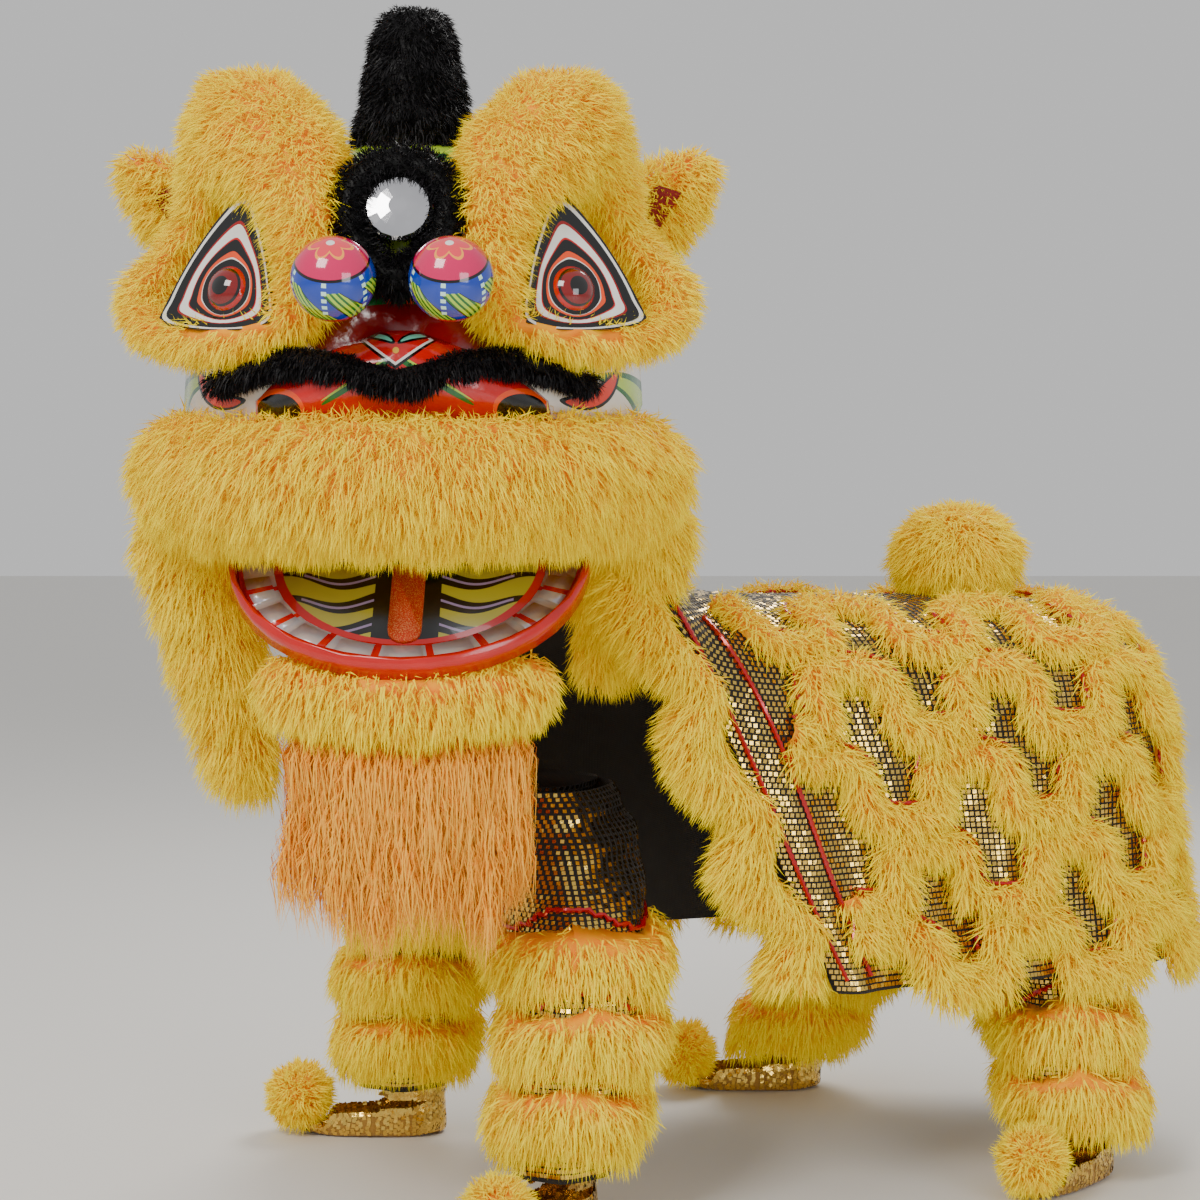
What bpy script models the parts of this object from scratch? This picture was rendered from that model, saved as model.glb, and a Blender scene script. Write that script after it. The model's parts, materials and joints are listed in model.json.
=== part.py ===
"""Southern style lion dance costume, in the pose that its two wearers give it.

The lion looks along -Y and its body trails to +X. +Z is up, and all lengths
are in metres. The origin is the middle of the front wearer's grip, inside the
hollow head. Fur is built as low forms covered in short locks.
"""
import math
import random

import bmesh
import bpy
from mathutils import Matrix, Vector

# Clearances and walls
GAP = 0.0004
CLOTH_WALL = 0.002
SHELL_WALL = 0.003
SEAT_DEPTH = 0.03

# Head shell
HEAD_HALF_WIDTH = 0.315
HEAD_FRONT = 0.31
HEAD_BACK = 0.27
HEAD_LOW = 0.06
HEAD_HEIGHT = 0.46
SHELL_SIDES = 22

# Snout and muzzle roll
SNOUT_HALF_WIDTH = 0.205
SNOUT_FRONT = 0.352
SNOUT_LOW = 0.115
SNOUT_HEIGHT = 0.125
ROLL_HALF_WIDTH = 0.375
ROLL_RADIUS = 0.086
ROLL_Z = 0.066
ROLL_FRONT = 0.31

# Mirror, nose balls and horn
MIRROR_RADIUS = 0.044
MIRROR_Z = 0.385
MIRROR_RING_RADIUS = 0.024
BALL_RADIUS = 0.052
BALL_HALF_SPACING = 0.072
BALL_Y = -0.395
BALL_Z = 0.299
STALK_RADIUS = 0.006
HORN_RADIUS = 0.068
HORN_TOP_Z = 0.70
HORN_Y = 0.0

# Eyes and brows
EYE_WIDTH = 0.172
EYE_HEIGHT = 0.172
EYE_X = 0.232
EYE_Z = 0.249
EYE_PLATE_THICKNESS = 0.006
EYE_TURN_DEG = 28.0
EYE_LEAN_DEG = 14.0
EYE_Y = -0.262
EYEBALL_RADIUS = 0.034
EYEBALL_RISE = 0.020
BROW_RADIUS = 0.095

# Ears
EAR_LENGTH = 0.125
EAR_WIDTH = 0.10
EAR_THICKNESS = 0.030
EAR_X = 0.305
EAR_Y = 0.075
EAR_Z = 0.405

# Jaw
JAW_HALF_WIDTH = 0.243
JAW_LENGTH = 0.262
JAW_DROP_DEG = 38.0
JAW_HINGE_Y = -0.075
JAW_HINGE_Z = -0.040
JAW_WALL = 0.004
JAW_DEPTH = 0.030
JAW_RIM_RADIUS = 0.008
TOOTH_COUNT = 9
TOOTH_HEIGHT = 0.007
TONGUE_LENGTH = 0.150
TONGUE_WIDTH = 0.044
PIN_RADIUS = 0.004
BRACKET_WIDTH = 0.026
BRACKET_THICKNESS = 0.004
CHIN_HALF_WIDTH = 0.158
CHIN_RADIUS = 0.036
BEARD_LENGTH = 0.245
BEARD_LOCKS = 9

# Body drape, in the body's own direction
BODY_YAW_DEG = 20.0
BODY_START = (0.10, 0.12)
BODY_LENGTH = 1.075
BODY_HALF_WIDTH = 0.285
BACK_Z = -0.125
HEM_Z = -0.66
FUR_ROW_DEPTH = 0.038
FUR_ROW_HEIGHT = 0.062
SCALLOP_HEIGHT = 0.030
SCALLOPS = 7
TAIL_RADIUS = 0.078
TAIL_SHARE = 0.69

# Legs
FLOOR_Z = -0.955
WAIST_DROP_FRONT = -0.385
WAIST_DROP_REAR = -0.33
WAIST_RADIUS = 0.165
KNEE_RADIUS = 0.082
CUFF_RADIUS = 0.064
TIER_HEIGHT = 0.085
TIER_DEPTH = 0.042
SHOE_LENGTH = 0.235
SHOE_WIDTH = 0.092
SHOE_HEIGHT = 0.075
SHOE_POMPOM_RADIUS = 0.040

GOLD_FUR = (0.93, 0.56, 0.02)
BLACK_FUR = (0.012, 0.011, 0.012)
SEQUIN_CLOTH = (0.20, 0.15, 0.05)
RED_PAINT = (0.62, 0.02, 0.02)


def clear_scene():
    """Remove what a new Blender scene holds."""
    for item in list(bpy.data.objects):
        bpy.data.objects.remove(item, do_unlink=True)


def new_collection(name):
    """A collection linked to the scene."""
    group = bpy.data.collections.new(name)
    bpy.context.scene.collection.children.link(group)
    return group


clear_scene()
COSTUME = new_collection("lion_dance_costume")
CUTTERS = new_collection("cutters")


def material(name, colour, roughness, metallic=0.0):
    """A plain Principled material in the part's colour."""
    made = bpy.data.materials.get(name)
    if made is None:
        made = bpy.data.materials.new(name)
        made.use_nodes = True
        shader = made.node_tree.nodes["Principled BSDF"]
        shader.inputs["Base Color"].default_value = (*colour, 1.0)
        shader.inputs["Roughness"].default_value = roughness
        shader.inputs["Metallic"].default_value = metallic
    return made


FUR = material("gold_fur", GOLD_FUR, 0.9)
DARK_FUR = material("black_fur", BLACK_FUR, 0.9)
HAIR = material("beard_hair", (0.95, 0.45, 0.12), 0.7)
SEQUINS = material("sequin_cloth", SEQUIN_CLOTH, 0.4, 0.6)
LACQUER = material("red_lacquer", RED_PAINT, 0.25)
PAINT = material("painted_shell", (0.75, 0.10, 0.05), 0.3)
GLASS = material("mirror", (0.8, 0.8, 0.82), 0.08, 1.0)
EYE_PAINT = material("eye_paint", (0.9, 0.88, 0.84), 0.25)
PUPIL = material("eyeball", (0.35, 0.01, 0.01), 0.15)
BALL_PAINT = material("ball_paint", (0.10, 0.16, 0.60), 0.25)
TEETH_WHITE = material("teeth", (0.85, 0.85, 0.86), 0.3)
LINING = material("mouth_lining", (0.55, 0.60, 0.10), 0.35)
DARK_METAL = material("dark_metal", (0.06, 0.06, 0.06), 0.5, 0.5)
SHOE_CLOTH = material("shoe_cloth", (0.75, 0.50, 0.10), 0.6)


def to_object(name, mesh_builder, paint, cutter=False):
    """Turn a filled bmesh into an object of the costume or a cutter."""
    mesh = bpy.data.meshes.new(name)
    bmesh.ops.recalc_face_normals(mesh_builder, faces=mesh_builder.faces)
    mesh_builder.to_mesh(mesh)
    mesh_builder.free()
    made = bpy.data.objects.new(name, mesh)
    if cutter:
        made.hide_render = True
        made.display_type = "WIRE"
        CUTTERS.objects.link(made)
    else:
        COSTUME.objects.link(made)
    made.data.materials.append(paint)
    return made


def cut(target, *cutters):
    """Cut solids out of a piece, which leaves its seat on them."""
    for tool in cutters:
        step = target.modifiers.new("seat_on_" + tool.name, "BOOLEAN")
        step.operation = "DIFFERENCE"
        step.solver = "EXACT"
        step.object = tool


def unite(target, *others):
    """Fuse helper solids to a piece."""
    for other in others:
        step = target.modifiers.new("with_" + other.name, "BOOLEAN")
        step.operation = "UNION"
        step.solver = "EXACT"
        step.object = other


def curve_through(rows, count, closed=False):
    """Rows of numbers read from a smooth curve through the given rows."""
    total = len(rows)
    spans = total if closed else total - 1
    out = []
    for index in range(count):
        place = index * spans / (count if closed else count - 1)
        span = min(int(place), spans - 1)
        share = place - span
        if closed:
            picks = [rows[(span + k) % total] for k in (-1, 0, 1, 2)]
        else:
            picks = [rows[min(max(span + k, 0), total - 1)] for k in (-1, 0, 1, 2)]
        out.append(tuple(blend_four(values, share) for values in zip(*picks)))
    return out


def blend_four(values, share):
    """Value of a smooth curve between the middle two of four numbers."""
    before, start, end, after = values
    return 0.5 * (2 * start + (end - before) * share
                  + (2 * before - 5 * start + 4 * end - after) * share ** 2
                  + (3 * start - before - 3 * end + after) * share ** 3)


def read_table(rows, at):
    """Row of a table read between its rows by the first column."""
    if at <= rows[0][0]:
        return rows[0]
    for low, high in zip(rows, rows[1:]):
        if at <= high[0]:
            share = (at - low[0]) / (high[0] - low[0])
            return tuple(a + (b - a) * share for a, b in zip(low, high))
    return rows[-1]


def skin(builder, rings, closed=False, split=None):
    """Join rings of points with faces; split cuts each one by its rising or falling diagonal."""
    loops = [[builder.verts.new(point) for point in ring] for ring in rings]
    faces = []
    pairs = list(zip(loops, loops[1:]))
    if closed:
        pairs.append((loops[-1], loops[0]))
    for low, high in pairs:
        for index in range(len(low)):
            after = (index + 1) % len(low)
            corners = (low[index], low[after], high[after], high[index])
            if split is None:
                faces.append(builder.faces.new(corners))
            else:
                faces += halves(builder, corners, split)
    if not closed:
        builder.faces.new(loops[0])
        builder.faces.new(loops[-1])
    return faces


def halves(builder, corners, split):
    """Two triangles of a four-sided face, cut by the named diagonal."""
    a, b, c, d = corners
    pairs = ((a, b, c), (a, c, d)) if split == "rising" else ((a, b, d), (b, c, d))
    return [builder.faces.new(pair) for pair in pairs]


def add_locks(builder, faces, length, droop, seed):
    """Raise a short lock of fur from the middle of each face."""
    bmesh.ops.recalc_face_normals(builder, faces=builder.faces)
    chance = random.Random(seed)
    for face in faces:
        normal = face.normal.copy()
        tip = bmesh.ops.poke(builder, faces=[face])["verts"][0]
        reach = length * chance.uniform(0.75, 1.25)
        tip.co += normal * reach + Vector((0, 0, -droop * chance.uniform(0.6, 1.4)))


def ring_at(centre, along, radius, sides, flat=1.0, up=Vector((0, 0, 1))):
    """Circle of points square to a direction; flat scales it along up."""
    across = along.cross(up).normalized()
    rise = across.cross(along).normalized()
    return [centre + across * (radius * math.cos(turn)) + rise * (radius * flat * math.sin(turn))
            for turn in (2 * math.pi * k / sides for k in range(sides))]


def fur_sweep(name, rows, rings, sides, lock, droop, paint=None, closed=False,
              grow=0.0, cutter=False, seed=1, up=Vector((0, 0, 1)), flat=1.0):
    """Roll of fur round a smooth path; each row is x, y, z and radius."""
    builder = bmesh.new()
    points = curve_through(rows, rings, closed)
    spots = [Vector(point[:3]) for point in points]
    loops = []
    for index, spot in enumerate(spots):
        if closed:
            along = spots[(index + 1) % rings] - spots[index - 1]
        else:
            along = spots[min(index + 1, rings - 1)] - spots[max(index - 1, 0)]
        loops.append(ring_at(spot, along.normalized(), points[index][3] + grow, sides, flat, up))
    if not closed:
        loops.insert(0, end_ring(spots[0], spots[0] - spots[1], points[0][3] + grow, loops[0]))
        loops.append(end_ring(spots[-1], spots[-1] - spots[-2], points[-1][3] + grow, loops[-1]))
    faces = skin(builder, loops, closed)
    add_locks(builder, faces, lock, droop, seed)
    return to_object(name, builder, paint or FUR, cutter)


def end_ring(centre, outward, radius, last):
    """Smaller ring past a roll's end, which rounds it."""
    push = outward.normalized() * radius * END_PUSH
    return [centre + push + (point - centre) * END_SHRINK for point in last]


END_PUSH = 0.62
END_SHRINK = 0.55


def fur_ball(name, centre, radius, detail, lock, paint=None, grow=0.0, cutter=False, seed=3):
    """Pompom of locks round a round core."""
    builder = bmesh.new()
    bmesh.ops.create_icosphere(builder, subdivisions=detail, radius=radius + grow)
    add_locks(builder, list(builder.faces), lock, 0.0, seed)
    bmesh.ops.translate(builder, verts=builder.verts, vec=centre)
    return to_object(name, builder, paint or FUR, cutter)


# Share of height, then of half width, front depth and back depth
SHELL_SECTIONS = (
    (0.00, 0.88, 0.84, 0.72),
    (0.20, 1.00, 1.00, 0.92),
    (0.42, 0.98, 0.93, 1.00),
    (0.62, 0.85, 0.78, 0.96),
    (0.80, 0.62, 0.58, 0.80),
    (0.93, 0.36, 0.34, 0.50),
    (1.00, 0.10, 0.06, 0.12),
)


def shell_ring(share, grow):
    """Level outline of the head at a share of its height."""
    section = read_table(SHELL_SECTIONS, share)
    ring = []
    for index in range(SHELL_SIDES):
        turn = 2 * math.pi * (index + 0.5) / SHELL_SIDES
        depth = section[2] * HEAD_FRONT if math.sin(turn) < 0 else section[3] * HEAD_BACK
        ring.append(Vector(((section[1] * HEAD_HALF_WIDTH + grow) * math.cos(turn),
                            (depth + grow) * math.sin(turn),
                            HEAD_LOW + share * HEAD_HEIGHT)))
    return ring


def head_shell():
    """Hollow painted head, open below where the wearer's arms go in."""
    builder = bmesh.new()
    outer = [shell_ring(row[0], 0.0) for row in SHELL_SECTIONS]
    inner = [shell_ring(row[0], -SHELL_WALL) for row in SHELL_SECTIONS]
    for ring in inner[1:]:
        for point in ring:
            point.z -= SHELL_WALL
    loops = [[builder.verts.new(p) for p in ring] for ring in inner[::-1] + outer]
    for low, high in zip(loops, loops[1:]):
        for index in range(SHELL_SIDES):
            after = (index + 1) % SHELL_SIDES
            halves(builder, (low[index], low[after], high[after], high[index]), "rising")
    builder.faces.new(loops[0])
    builder.faces.new(loops[-1])
    return to_object("head_shell", builder, PAINT)


def shell_cutter(name, low_drop=0.0):
    """Filled outer form of the head, a gap larger, for what sits on it."""
    builder = bmesh.new()
    rings = [shell_ring(row[0], GAP) for row in SHELL_SECTIONS]
    for point in rings[0]:
        point.z -= GAP + low_drop
    for point in rings[-1]:
        point.z += GAP
    skin(builder, rings, split="rising")
    return to_object(name, builder, PAINT, cutter=True)


def snout(grow=0.0, cutter=False):
    """Broad lacquered nose in front of the shell."""
    builder = bmesh.new()
    # Share of height, of half width and of front depth
    sections = ((0.0, 1.0, 0.86), (0.30, 1.0, 0.96), (0.62, 0.80, 1.0), (0.85, 0.46, 0.97),
                (1.0, 0.20, 0.88))
    rings = []
    for height, width, depth in sections:
        ring = []
        for index in range(15):
            turn = math.pi * index / 14
            ring.append(Vector(((SNOUT_HALF_WIDTH * width + grow) * math.cos(turn),
                                -0.15 - (SNOUT_FRONT * depth - 0.15 + grow) * math.sin(turn) ** 0.7,
                                SNOUT_LOW + height * SNOUT_HEIGHT)))
        rings.append(ring)
    for ring, way in ((rings[0], -1), (rings[-1], 1)):
        for point in ring:
            point.z += way * grow
    skin(builder, rings, split="rising")
    return to_object("snout" + ("_cutter" if cutter else ""), builder, LACQUER, cutter)


def disc(name, radius, thickness, place, paint, dome=0.0, sides=24, grow=0.0, cutter=False):
    """Round plate with a domed front; place turns its +Z to the front."""
    builder = bmesh.new()
    levels = [(0.0, radius + grow), (thickness + grow, radius + grow)]
    if dome:
        levels += [(thickness + grow + dome * math.sin(t), (radius + grow) * math.cos(t))
                   for t in (0.45, 0.9, 1.3)]
    rings = [[Vector((size * math.cos(a), size * math.sin(a), level))
              for a in (2 * math.pi * k / sides for k in range(sides))] for level, size in levels]
    skin(builder, rings)
    bmesh.ops.transform(builder, matrix=place, verts=builder.verts)
    return to_object(name, builder, paint, cutter)


def facing(x, y, z, turn_deg, lean_deg):
    """Place whose +Z looks forward, turned outward and leant back."""
    return (Matrix.Translation((x, y, z)) @ Matrix.Rotation(math.radians(turn_deg), 4, "Z")
            @ Matrix.Rotation(math.radians(90 - lean_deg), 4, "X"))


MIRROR_PLACE = facing(0, -0.262, MIRROR_Z, 0, 16)


def mirror(grow=0.0, cutter=False):
    """Round domed mirror on the brow of the head."""
    name = "mirror_disc" + ("_cutter" if cutter else "")
    return disc(name, MIRROR_RADIUS, 0.034, MIRROR_PLACE, GLASS, 0.010, 18, grow, cutter)


def mirror_ring(grow=0.0, cutter=False):
    """Black fur round the mirror, running down between the nose balls."""
    middle = MIRROR_RADIUS + MIRROR_RING_RADIUS * 0.9
    rows = []
    for index in range(12):
        turn = 2 * math.pi * index / 12
        long = 1.35 if math.sin(turn) < -0.8 else 1.0
        spot = MIRROR_PLACE @ Vector((middle * math.cos(turn), middle * long * math.sin(turn), 0.018))
        rows.append((*spot, MIRROR_RING_RADIUS))
    name = "mirror_fur_ring" + ("_cutter" if cutter else "")
    return fur_sweep(name, rows, 14, 5, 0.008, 0.0, DARK_FUR, True, grow, cutter, 5,
                     MIRROR_PLACE.to_3x3() @ Vector((0, 0, 1)))


def nose_ball(side, grow=0.0, cutter=False):
    """Painted ball on a short stalk from the shell."""
    builder = bmesh.new()
    bmesh.ops.create_uvsphere(builder, u_segments=12, v_segments=8, radius=BALL_RADIUS + grow)
    bmesh.ops.translate(builder, verts=builder.verts, vec=(side * BALL_HALF_SPACING, BALL_Y, BALL_Z))
    name = "nose_ball_" + side_name(side) + ("_cutter" if cutter else "")
    ball = to_object(name, builder, BALL_PAINT, cutter)
    stalk_builder = bmesh.new()
    bmesh.ops.create_cone(stalk_builder, cap_ends=True, segments=8, radius1=STALK_RADIUS + grow,
                          radius2=STALK_RADIUS + grow, depth=0.16)
    bmesh.ops.transform(stalk_builder, verts=stalk_builder.verts,
                        matrix=Matrix.Translation((side * BALL_HALF_SPACING, BALL_Y + 0.10, BALL_Z))
                        @ Matrix.Rotation(math.pi / 2, 4, "X"))
    stalk = to_object(name + "_stalk", stalk_builder, BALL_PAINT, cutter=True)
    unite(ball, stalk)
    return ball


def side_name(side):
    """Name of a side as its wearer has it from the front view."""
    return "left" if side < 0 else "right"


# Share of width and of height round the eye plate, from the inner corner
EYE_OUTLINE = ((0.02, 0.0), (0.5, -0.05), (1.0, 0.02), (0.97, 0.20), (0.84, 0.48), (0.66, 0.76),
               (0.46, 0.98), (0.34, 0.97), (0.20, 0.68), (0.08, 0.34))


def eye_place(side):
    """Place of an eye plate's middle, on the curve of the head."""
    return facing(side * EYE_X, EYE_Y, EYE_Z, side * EYE_TURN_DEG, EYE_LEAN_DEG)


def eye_plate(side, grow=0.0, cutter=False):
    """Flat painted plate behind the eyeball, apex up."""
    outline = curve_through(EYE_OUTLINE, 22, True)
    builder = bmesh.new()
    rings = []
    for level in (-0.05 if cutter else 0.0, EYE_PLATE_THICKNESS + grow):
        ring = []
        for across, rise in outline:
            x = (across - 0.5) * (EYE_WIDTH + 2 * grow) * side
            y = (rise - 0.4) * (EYE_HEIGHT + 2 * grow) + 0.4 * EYE_HEIGHT
            ring.append(Vector((x, y, level)))
        rings.append(ring)
    skin(builder, rings)
    bmesh.ops.transform(builder, matrix=eye_place(side), verts=builder.verts)
    name = "eye_plate_" + side_name(side) + ("_cutter" if cutter else "")
    return to_object(name, builder, EYE_PAINT, cutter)


def eyeball(side, grow=0.0, cutter=False):
    """Glossy domed ball on the eye plate."""
    place = eye_place(side) @ Matrix.Translation((-side * 0.012, 0.045, EYE_PLATE_THICKNESS + GAP - grow))
    name = "eyeball_" + side_name(side) + ("_cutter" if cutter else "")
    return disc(name, EYEBALL_RADIUS, 0.004, place, PUPIL, EYEBALL_RISE, 14, grow, cutter)


# Brow and eye rim as one roll: across, forward and up in metres, and share of radius
BROW_PATH = (
    (0.130, -0.285, 0.262, 0.30),
    (0.110, -0.268, 0.335, 0.46),
    (0.128, -0.235, 0.425, 0.66),
    (0.190, -0.165, 0.500, 0.98),
    (0.268, -0.115, 0.478, 0.86),
    (0.322, -0.098, 0.385, 0.44),
    (0.345, -0.115, 0.300, 0.32),
    (0.325, -0.155, 0.238, 0.30),
    (0.255, -0.225, 0.217, 0.28),
    (0.175, -0.272, 0.225, 0.27),
)


def brow(side, grow=0.0, cutter=False):
    """Thick fur lobe over the eye, with the thin rim below it."""
    rows = [(side * x, y, z, share * BROW_RADIUS) for x, y, z, share in BROW_PATH]
    name = "brow_" + side_name(side) + ("_cutter" if cutter else "")
    return fur_sweep(name, rows, 16, 6, 0.014, 0.003, FUR, True, grow, cutter, 7, Vector((0, -1, 0.2)))


def muzzle_roll(grow=0.0, cutter=False):
    """Huge fur roll of the upper lip."""
    reach = ROLL_HALF_WIDTH - ROLL_RADIUS
    rows = []
    for share in (-1.0, -0.8, -0.45, 0.0, 0.45, 0.8, 1.0):
        bend = -ROLL_FRONT + (ROLL_FRONT - 0.07) * abs(share) ** 2.2
        rows.append((reach * share, bend, ROLL_Z + 0.006 * share ** 2, ROLL_RADIUS))
    return fur_sweep("muzzle_roll" + ("_cutter" if cutter else ""), rows, 11, 8, 0.016, 0.006,
                     FUR, False, grow, cutter, 11)


def moustache():
    """Black fur lying in a V across the snout."""
    rows = []
    for share in (-1.0, -0.75, -0.4, 0.0, 0.4, 0.75, 1.0):
        rows.append((0.235 * share, -0.352 + 0.125 * share ** 2, 0.172 + 0.035 * math.sin(abs(share) * 3.0),
                     0.024 - 0.005 * abs(share)))
    return fur_sweep("moustache", rows, 11, 5, 0.009, 0.004, DARK_FUR, False, seed=13)


def horn():
    """Upright fur horn on the crown."""
    crown = HEAD_LOW + HEAD_HEIGHT
    rows = [(0.0, HORN_Y, crown - 0.035, HORN_RADIUS * 1.05),
            (0.0, HORN_Y - 0.002, crown + 0.05, HORN_RADIUS * 0.86),
            (0.0, HORN_Y - 0.004, HORN_TOP_Z - 0.06, HORN_RADIUS * 0.74),
            (0.0, HORN_Y, HORN_TOP_Z - 0.03, HORN_RADIUS * 0.72)]
    return fur_sweep("horn", rows, 4, 8, 0.014, -0.004, DARK_FUR, False, seed=17, up=Vector((0, 1, 0)))


def ear(side):
    """Fur ear behind the brow, open to the front."""
    rows = [(side * (EAR_X - 0.045), EAR_Y, EAR_Z - 0.055, EAR_WIDTH * 0.28),
            (side * EAR_X, EAR_Y, EAR_Z, EAR_WIDTH * 0.50),
            (side * (EAR_X + 0.055), EAR_Y - 0.004, EAR_Z + 0.045, EAR_WIDTH * 0.42),
            (side * (EAR_X + 0.085), EAR_Y - 0.004, EAR_Z + EAR_LENGTH * 0.62, EAR_WIDTH * 0.20)]
    return fur_sweep("ear_" + side_name(side), rows, 5, 6, 0.011, 0.0, FUR, False, seed=19,
                     up=Vector((0, 1, 0)), flat=EAR_THICKNESS / EAR_WIDTH * 2)


def ear_lining(side):
    """Dark red cloth leaf in front of the ear."""
    outline = ((-0.038, -0.050), (0.030, -0.012), (0.062, 0.040), (0.030, 0.050), (-0.012, 0.022))
    front = EAR_Y - EAR_THICKNESS - 0.017
    builder = bmesh.new()
    rings = [[Vector((side * (EAR_X + x), front + level, EAR_Z + z)) for x, z in outline]
             for level in (0.0, CLOTH_WALL)]
    skin(builder, rings)
    return to_object("ear_lining_" + side_name(side), builder, LACQUER)


JAW_PLACE = (Matrix.Translation((0, JAW_HINGE_Y, JAW_HINGE_Z))
             @ Matrix.Rotation(math.radians(JAW_DROP_DEG), 4, "X") @ Matrix.Rotation(math.pi, 4, "Z"))
FLOOR_START = 0.020


def jaw_outline(inset, rear=0.0, count=21):
    """Half ellipse of the tray, from one rear corner to the other."""
    start = FLOOR_START + rear
    points = []
    for index in range(count):
        turn = math.pi * index / (count - 1)
        points.append(((JAW_HALF_WIDTH - inset) * math.cos(turn),
                       start + (JAW_LENGTH - start - inset) * math.sin(turn) ** 0.9))
    return points


def jaw_plate(name, inset, rear, low, high, paint, cutter=False):
    """Flat piece with the tray's outline, set in from its edge and its rear."""
    builder = bmesh.new()
    rings = [[Vector((x, y, level)) for x, y in jaw_outline(inset, rear)] for level in (low, high)]
    skin(builder, rings)
    bmesh.ops.transform(builder, matrix=JAW_PLACE, verts=builder.verts)
    return to_object(name, builder, paint, cutter)


def jaw_box(name, size, centre, paint, cutter=True):
    """Block in the tray's own directions."""
    builder = bmesh.new()
    bmesh.ops.create_cube(builder, size=1.0)
    bmesh.ops.scale(builder, vec=size, verts=builder.verts)
    bmesh.ops.translate(builder, vec=centre, verts=builder.verts)
    bmesh.ops.transform(builder, matrix=JAW_PLACE, verts=builder.verts)
    return to_object(name, builder, paint, cutter)


def cross_pin(name, radius, x_from, x_to):
    """Round bar along the hinge axis."""
    builder = bmesh.new()
    bmesh.ops.create_cone(builder, cap_ends=True, segments=12, radius1=radius, radius2=radius,
                          depth=abs(x_to - x_from))
    bmesh.ops.transform(builder, verts=builder.verts,
                        matrix=Matrix.Translation(((x_from + x_to) / 2, JAW_HINGE_Y, JAW_HINGE_Z))
                        @ Matrix.Rotation(math.pi / 2, 4, "Y"))
    return to_object(name, builder, DARK_METAL, cutter=True)


LUG_X = JAW_HALF_WIDTH - 0.020
LUG_WIDTH = 0.022
LUG_THICKNESS = 0.005


def jaw_tray():
    """Shallow red tray with a raised rim and two hinge lugs."""
    tray = jaw_plate("jaw_tray", 0.0, 0.0, -JAW_WALL, JAW_DEPTH, LACQUER)
    cut(tray, jaw_plate("tray_hollow", JAW_RIM_RADIUS, JAW_RIM_RADIUS, 0.0, JAW_DEPTH * 2, LACQUER, True))
    for side in (-1, 1):
        lug = jaw_box("lug_" + side_name(side), (LUG_THICKNESS, FLOOR_START + LUG_WIDTH, LUG_WIDTH),
                      (side * LUG_X, FLOOR_START / 2, 0.0), LACQUER)
        unite(tray, lug)
    for side in (-1, 1):
        cut(tray, cross_pin("pin_hole_" + side_name(side), PIN_RADIUS + GAP * 2,
                            side * (LUG_X + 0.010), side * (LUG_X - 0.010)))
    return tray


def hinge_bracket(side):
    """Dark plate hung from the head's rim, with the pin the jaw turns on."""
    plate_x = side * (LUG_X + LUG_THICKNESS / 2 + 0.0015 + BRACKET_THICKNESS / 2)
    top = HEAD_LOW - GAP
    bottom = JAW_HINGE_Z - BRACKET_WIDTH / 2
    builder = bmesh.new()
    bmesh.ops.create_cube(builder, size=1.0)
    bmesh.ops.scale(builder, vec=(BRACKET_THICKNESS, BRACKET_WIDTH, top - bottom), verts=builder.verts)
    bmesh.ops.translate(builder, vec=(plate_x, JAW_HINGE_Y, (top + bottom) / 2), verts=builder.verts)
    bracket = to_object("hinge_bracket_" + side_name(side), builder, DARK_METAL)
    # Foot that reaches sideways to the head's rim
    foot_builder = bmesh.new()
    bmesh.ops.create_cube(foot_builder, size=1.0)
    bmesh.ops.scale(foot_builder, vec=(0.05, BRACKET_WIDTH, BRACKET_THICKNESS), verts=foot_builder.verts)
    bmesh.ops.translate(foot_builder, verts=foot_builder.verts,
                        vec=(plate_x + side * 0.022, JAW_HINGE_Y, top - BRACKET_THICKNESS / 2))
    unite(bracket, to_object("foot_" + side_name(side), foot_builder, DARK_METAL, cutter=True))
    unite(bracket, cross_pin("pin_" + side_name(side), PIN_RADIUS, plate_x,
                             side * (LUG_X - LUG_THICKNESS / 2 - 0.002)))
    return bracket


def bracket_form(side):
    """Room for a hinge bracket in the muzzle roll."""
    builder = bmesh.new()
    bmesh.ops.create_cube(builder, size=1.0)
    bmesh.ops.scale(builder, vec=(0.085, BRACKET_WIDTH + 0.002, 0.14), verts=builder.verts)
    bmesh.ops.translate(builder, vec=(side * (LUG_X + 0.028), JAW_HINGE_Y, JAW_HINGE_Z + 0.030),
                        verts=builder.verts)
    return to_object("bracket_form_" + side_name(side), builder, DARK_METAL, cutter=True)


TEETH_INSET = JAW_RIM_RADIUS + 0.006
TEETH_BAND = 0.046
LINING_REAR = TEETH_INSET - 0.005
LINING_TOP = 0.003


def teeth():
    """Arc of flat teeth round the tray, on one band."""
    band = jaw_plate("teeth", TEETH_INSET, TEETH_INSET, GAP, TOOTH_HEIGHT * 0.5, TEETH_WHITE)
    inner_edge = TEETH_INSET + TEETH_BAND
    cut(band, jaw_plate("band_hollow", inner_edge, LINING_REAR, -0.01, 0.05, TEETH_WHITE, True))
    outer = jaw_outline(TEETH_INSET + 0.005, TEETH_INSET, 181)
    inner = jaw_outline(inner_edge - 0.006, TEETH_INSET, 181)
    for index in range(TOOTH_COUNT):
        start = 8 + index * 165 // TOOTH_COUNT + 2
        end = 8 + (index + 1) * 165 // TOOTH_COUNT - 2
        corners = [outer[start], outer[(start + end) // 2], outer[end], inner[end], inner[start]]
        builder = bmesh.new()
        skin(builder, [[Vector((x, y, z)) for x, y in corners]
                       for z in (TOOTH_HEIGHT * 0.3, TOOTH_HEIGHT)])
        bmesh.ops.transform(builder, matrix=JAW_PLACE, verts=builder.verts)
        unite(band, to_object("tooth_%d" % index, builder, TEETH_WHITE, cutter=True))
    return band


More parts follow.
